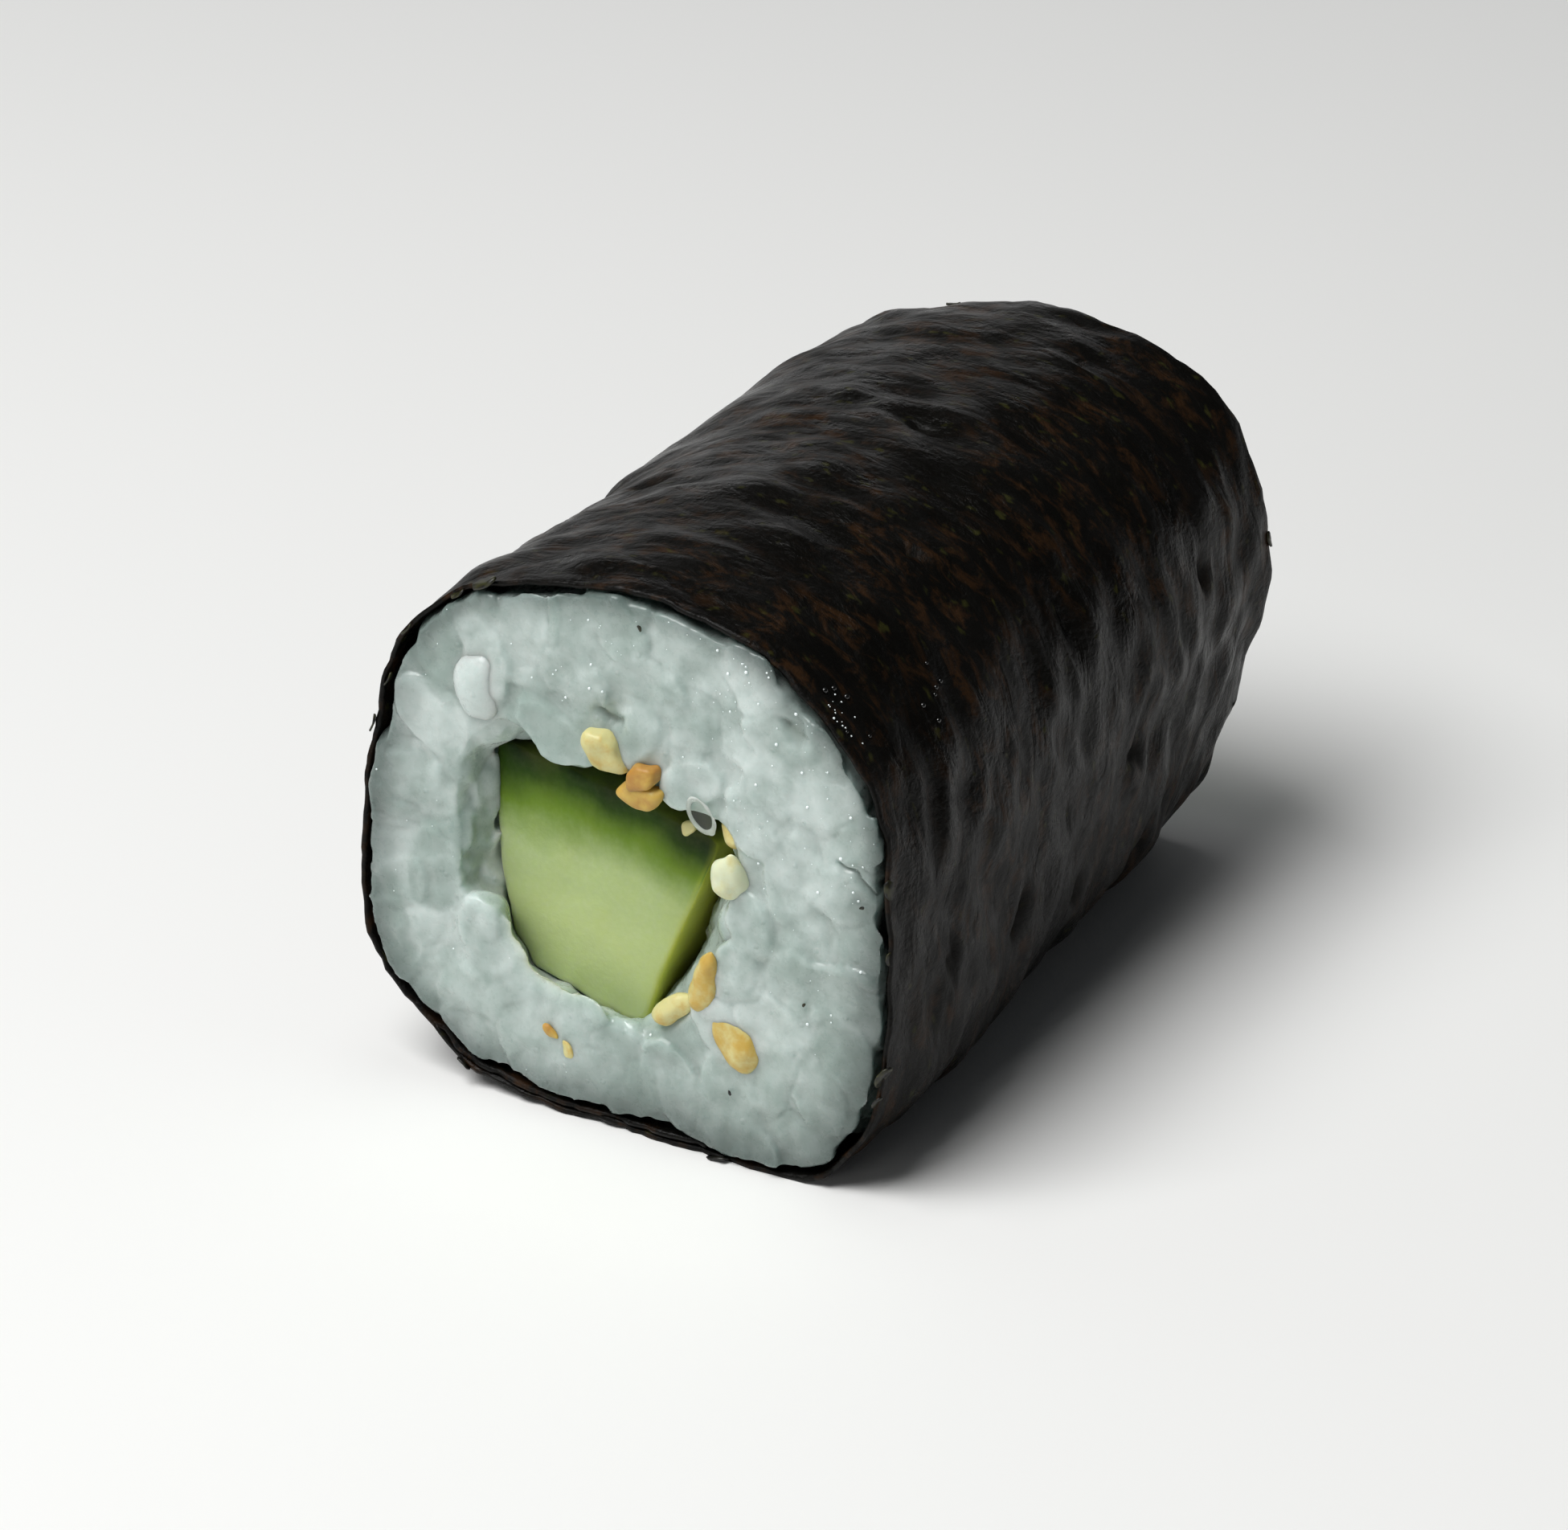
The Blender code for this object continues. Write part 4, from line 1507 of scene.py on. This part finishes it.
# Soft lamps: name, azimuth and elevation round the roll, distance, width, height, and the setting of power.
LAMPS = (
    ("key_softbox", -28, 61, 0.55, 0.32, 0.32, "key_power"),
    ("low_softbox", -12, 12, 0.60, 0.30, 0.16, "fill_power"),
    ("back_softbox", 180, 84, 0.70, 0.25, 0.25, "back_power"),
    ("left_card", 217, 9, 0.80, 0.70, 0.24, "card_power"),
)


def aimed(place):
    """The turn of a lamp or camera at that place that points it at the roll."""
    return (AIM - place).to_track_quat("-Z", "Y").to_euler()


def add_softbox(name, azimuth, elevation, distance, width, height, power):
    """A flat lamp with soft light, set round the roll like the camera, and not seen by it."""
    deselect()
    place = AIM + around_aim(azimuth, elevation) * distance
    bpy.ops.object.light_add(type="AREA", location=place, rotation=aimed(place))
    lamp = bpy.context.view_layer.objects.active
    lamp.name = name
    lamp.data.shape = "RECTANGLE"
    lamp.data.size = width
    lamp.data.size_y = height
    lamp.data.energy = power
    lamp.visible_camera = False


def around_aim(azimuth, elevation):
    """The direction from the aim point to a place seen from that azimuth and elevation."""
    turn = math.radians(azimuth)
    rise = math.radians(elevation)
    return Vector((math.sin(turn) * math.cos(rise), -math.cos(turn) * math.cos(rise), math.sin(rise)))


def make_stage(sizes):
    """The pale floor, soft studio light and the camera."""
    deselect()
    bpy.ops.mesh.primitive_grid_add(
        x_subdivisions=24, y_subdivisions=24, size=sizes.floor_size, location=(0, 0, 0)
    )
    floor = take("floor")
    set_points(floor, points_of(floor) - [0, 0, 0.02 * MM])
    floor.data.materials.append(floor_material(sizes))
    deselect()
    place = AIM + around_aim(sizes.camera_azimuth, sizes.camera_elevation) * sizes.camera_distance
    bpy.ops.object.camera_add(location=place, rotation=aimed(place))
    camera = bpy.context.view_layer.objects.active
    camera.name = "camera"
    camera.data.sensor_width = 36
    camera.data.lens = sizes.camera_lens
    camera.data.clip_start = 0.01
    camera.data.clip_end = 20
    bpy.context.scene.camera = camera
    for *placing, power in LAMPS:
        add_softbox(*placing, getattr(sizes, power))
    world = bpy.data.worlds.new("dim_studio")
    world.use_nodes = True
    bpy.context.scene.world = world
    background = world.node_tree.nodes["Background"]
    background.inputs["Color"].default_value = (*sizes.world_colour, 1)
    background.inputs["Strength"].default_value = sizes.world_strength
    bpy.context.scene.view_settings.view_transform = "Standard"
    deselect()


# ---------------------------------------------------------------- settings, operators and panel


def length_property(name, description, default_mm):
    return FloatProperty(
        name=name, description=description, default=default_mm * MM, unit="LENGTH", precision=5
    )


def colour_property(name, description, hex_colour):
    return FloatVectorProperty(
        name=name, description=description, default=linear(hex_colour), subtype="COLOR", size=3, min=0, max=1
    )


class MakiNoriSettings(bpy.types.PropertyGroup):
    thickness: length_property("Thickness", "Thickness of the moist sheet", 0.35)
    wrinkle_height: length_property("Wrinkles", "Height of the wrinkles round the roll", 0.32)
    swell_height: length_property("Swells", "Height of the soft swells over the rice", 0.26)
    ragged_rim: length_property("Ragged rim", "How far the cut rims run in and out", 0.22)
    sheet_colour: colour_property("Sheet", "Colour of the sheet", "0a0907")
    brown_colour: colour_property("Brown fronds", "Colour of the brown fronds in the sheet", "2d1d0f")
    olive_colour: colour_property("Olive flecks", "Colour of the thin olive spots", "3a3a18")


class MakiRiceSettings(bpy.types.PropertyGroup):
    voxel: length_property("Fineness", "Size of the facets on the cut faces", 0.125)
    keep_share: FloatProperty(name="Kept share", description="Share of the facets that is kept", default=0.62)
    chalky_colour: colour_property("Chalky", "Colour of the opaque grains", "c9d4d0")
    glassy_colour: colour_property("Glassy", "Colour of the translucent grains", "9aaaa3")
    seam_colour: colour_property("Seams", "Colour between the grains", "8d9c96")
    # Grey of the rice beside the nori: partly nori showing through and partly painted shade.
    rim_bleed_and_shade_colour: colour_property("Rim", "Colour of the rice beside the nori", "46524e")
    # Painted shade deep in the crevices between grains.
    crevice_shade_colour: colour_property("Crevices", "Colour deep between the grains", "6b7462")


class MakiCucumberSettings(bpy.types.PropertyGroup):
    skin_colour: colour_property("Skin", "Colour of the skin", "14260a")
    rind_colour: colour_property("Rind", "Colour just under the skin", "2a4704")
    green_colour: colour_property("Green flesh", "Colour of the flesh near the rind", "6c8a2a")
    flesh_colour: colour_property("Flesh", "Colour of the flesh", "adbf85")
    # The pale heart, partly painted light that lifts the lower part of the cut, which the rice's lip shades.
    heart_and_painted_light_colour: colour_property("Heart", "Colour of the flesh near the heart", "b9c88b")
    # Painted light on the sides facing +X, which lie in shade beside the rice.
    painted_side_light_colour: colour_property("Thin side", "Colour of the side that light comes through", "c4c850")


class MakiSesameSettings(bpy.types.PropertyGroup):
    raw_colour: colour_property("Raw", "Colour of a seed that stayed raw", "d9dfbe")
    pale_colour: colour_property("Pale", "Colour of a lightly toasted side", "d2cc90")
    golden_colour: colour_property("Golden", "Colour of a golden side", "c6a650")
    toasted_colour: colour_property("Toasted", "Colour where the seed touched the pan", "b0803a")


class MakiStageSettings(bpy.types.PropertyGroup):
    floor_colour: colour_property("Floor", "Colour of the floor", "f4f4f2")
    floor_size: FloatProperty(name="Floor size", description="Side of the floor", default=6.0, unit="LENGTH")
    world_colour: colour_property("Surroundings", "Colour of the room", "e8eef4")
    world_strength: FloatProperty(name="Room light", description="Strength of the room's light", default=0.05)
    key_power: FloatProperty(name="Key", description="Power of the main lamp in watts", default=3.4)
    fill_power: FloatProperty(name="Fill", description="Power of the low front lamp in watts", default=0.35)
    card_power: FloatProperty(name="Card", description="Power of the card on the left in watts", default=0.42)
    back_power: FloatProperty(name="Back", description="Power of the lamp above in watts", default=0.32)
    camera_azimuth: FloatProperty(name="Azimuth", description="Camera's angle round the roll", default=29.235)
    camera_elevation: FloatProperty(name="Elevation", description="Camera's angle above level", default=26.68)
    camera_distance: FloatProperty(
        name="Distance", description="Camera's distance", default=0.22, unit="LENGTH"
    )
    camera_lens: FloatProperty(name="Lens", description="Focal length in millimetres", default=113.67)


class MAKI_OT_nori(bpy.types.Operator):
    """Rolls the sheet of nori over its solid"""

    bl_idname = "maki.nori"
    bl_label = "Nori"

    def execute(self, context):
        make_nori(context.scene.maki_nori)
        return {"FINISHED"}


class MAKI_OT_rice(bpy.types.Operator):
    """Lays the core of the rice and the grains of both cut ends"""

    bl_idname = "maki.rice"
    bl_label = "Rice"

    def execute(self, context):
        make_rice(context.scene.maki_rice)
        return {"FINISHED"}


class MAKI_OT_loose_grains(bpy.types.Operator):
    """Sets loose grains in the cut rice"""

    bl_idname = "maki.loose_grains"
    bl_label = "Loose grains"

    def execute(self, context):
        make_loose_grains()
        return {"FINISHED"}


class MAKI_OT_flakes(bpy.types.Operator):
    """Sets torn flakes of nori at the rims"""

    bl_idname = "maki.flakes"
    bl_label = "Nori flakes"

    def execute(self, context):
        make_flakes(context.scene.maki_nori)
        return {"FINISHED"}


class MAKI_OT_cucumber(bpy.types.Operator):
    """Cuts the stick of cucumber"""

    bl_idname = "maki.cucumber"
    bl_label = "Cucumber"

    def execute(self, context):
        make_cucumber(context.scene.maki_cucumber)
        return {"FINISHED"}


class MAKI_OT_sesame(bpy.types.Operator):
    """Strews the toasted sesame seeds"""

    bl_idname = "maki.sesame"
    bl_label = "Sesame seeds"

    def execute(self, context):
        make_sesame(context.scene.maki_sesame)
        return {"FINISHED"}


class MAKI_OT_moisture(bpy.types.Operator):
    """Sets droplets on the rice and the nori"""

    bl_idname = "maki.moisture"
    bl_label = "Moisture"

    def execute(self, context):
        make_moisture()
        return {"FINISHED"}


class MAKI_OT_stage(bpy.types.Operator):
    """Sets the floor, the lamps and the camera"""

    bl_idname = "maki.stage"
    bl_label = "Stage"

    def execute(self, context):
        make_stage(context.scene.maki_stage)
        return {"FINISHED"}


class MAKI_PT_panel(bpy.types.Panel):
    """The pieces of the roll, in the order that they are made"""

    bl_label = "Cucumber maki roll"
    bl_idname = "MAKI_PT_panel"
    bl_space_type = "VIEW_3D"
    bl_region_type = "UI"
    bl_category = "Maki"

    def draw(self, context):
        for operator in OPERATORS:
            box = self.layout.box()
            box.operator(operator.bl_idname)
            name = operator.bl_idname.removeprefix("maki.")
            if name in SETTINGS:
                settings = getattr(context.scene, "maki_" + name)
                for prop in SETTINGS[name].__annotations__:
                    box.prop(settings, prop)


SETTINGS = {
    "nori": MakiNoriSettings,
    "rice": MakiRiceSettings,
    "cucumber": MakiCucumberSettings,
    "sesame": MakiSesameSettings,
    "stage": MakiStageSettings,
}
OPERATORS = (
    MAKI_OT_nori,
    MAKI_OT_flakes,
    MAKI_OT_rice,
    MAKI_OT_loose_grains,
    MAKI_OT_cucumber,
    MAKI_OT_sesame,
    MAKI_OT_moisture,
    MAKI_OT_stage,
)


def register():
    for name, group in SETTINGS.items():
        bpy.utils.register_class(group)
        setattr(bpy.types.Scene, "maki_" + name, PointerProperty(type=group))
    for operator in OPERATORS:
        bpy.utils.register_class(operator)
    bpy.utils.register_class(MAKI_PT_panel)


def unregister():
    bpy.utils.unregister_class(MAKI_PT_panel)
    for operator in reversed(OPERATORS):
        bpy.utils.unregister_class(operator)
    for name, group in reversed(SETTINGS.items()):
        delattr(bpy.types.Scene, "maki_" + name)
        bpy.utils.unregister_class(group)


def main():
    register()
    bpy.ops.maki.nori()
    bpy.ops.maki.flakes()
    bpy.ops.maki.rice()
    bpy.ops.maki.loose_grains()
    bpy.ops.maki.cucumber()
    bpy.ops.maki.sesame()
    bpy.ops.maki.moisture()
    bpy.ops.maki.stage()


if __name__ == "__main__":
    main()
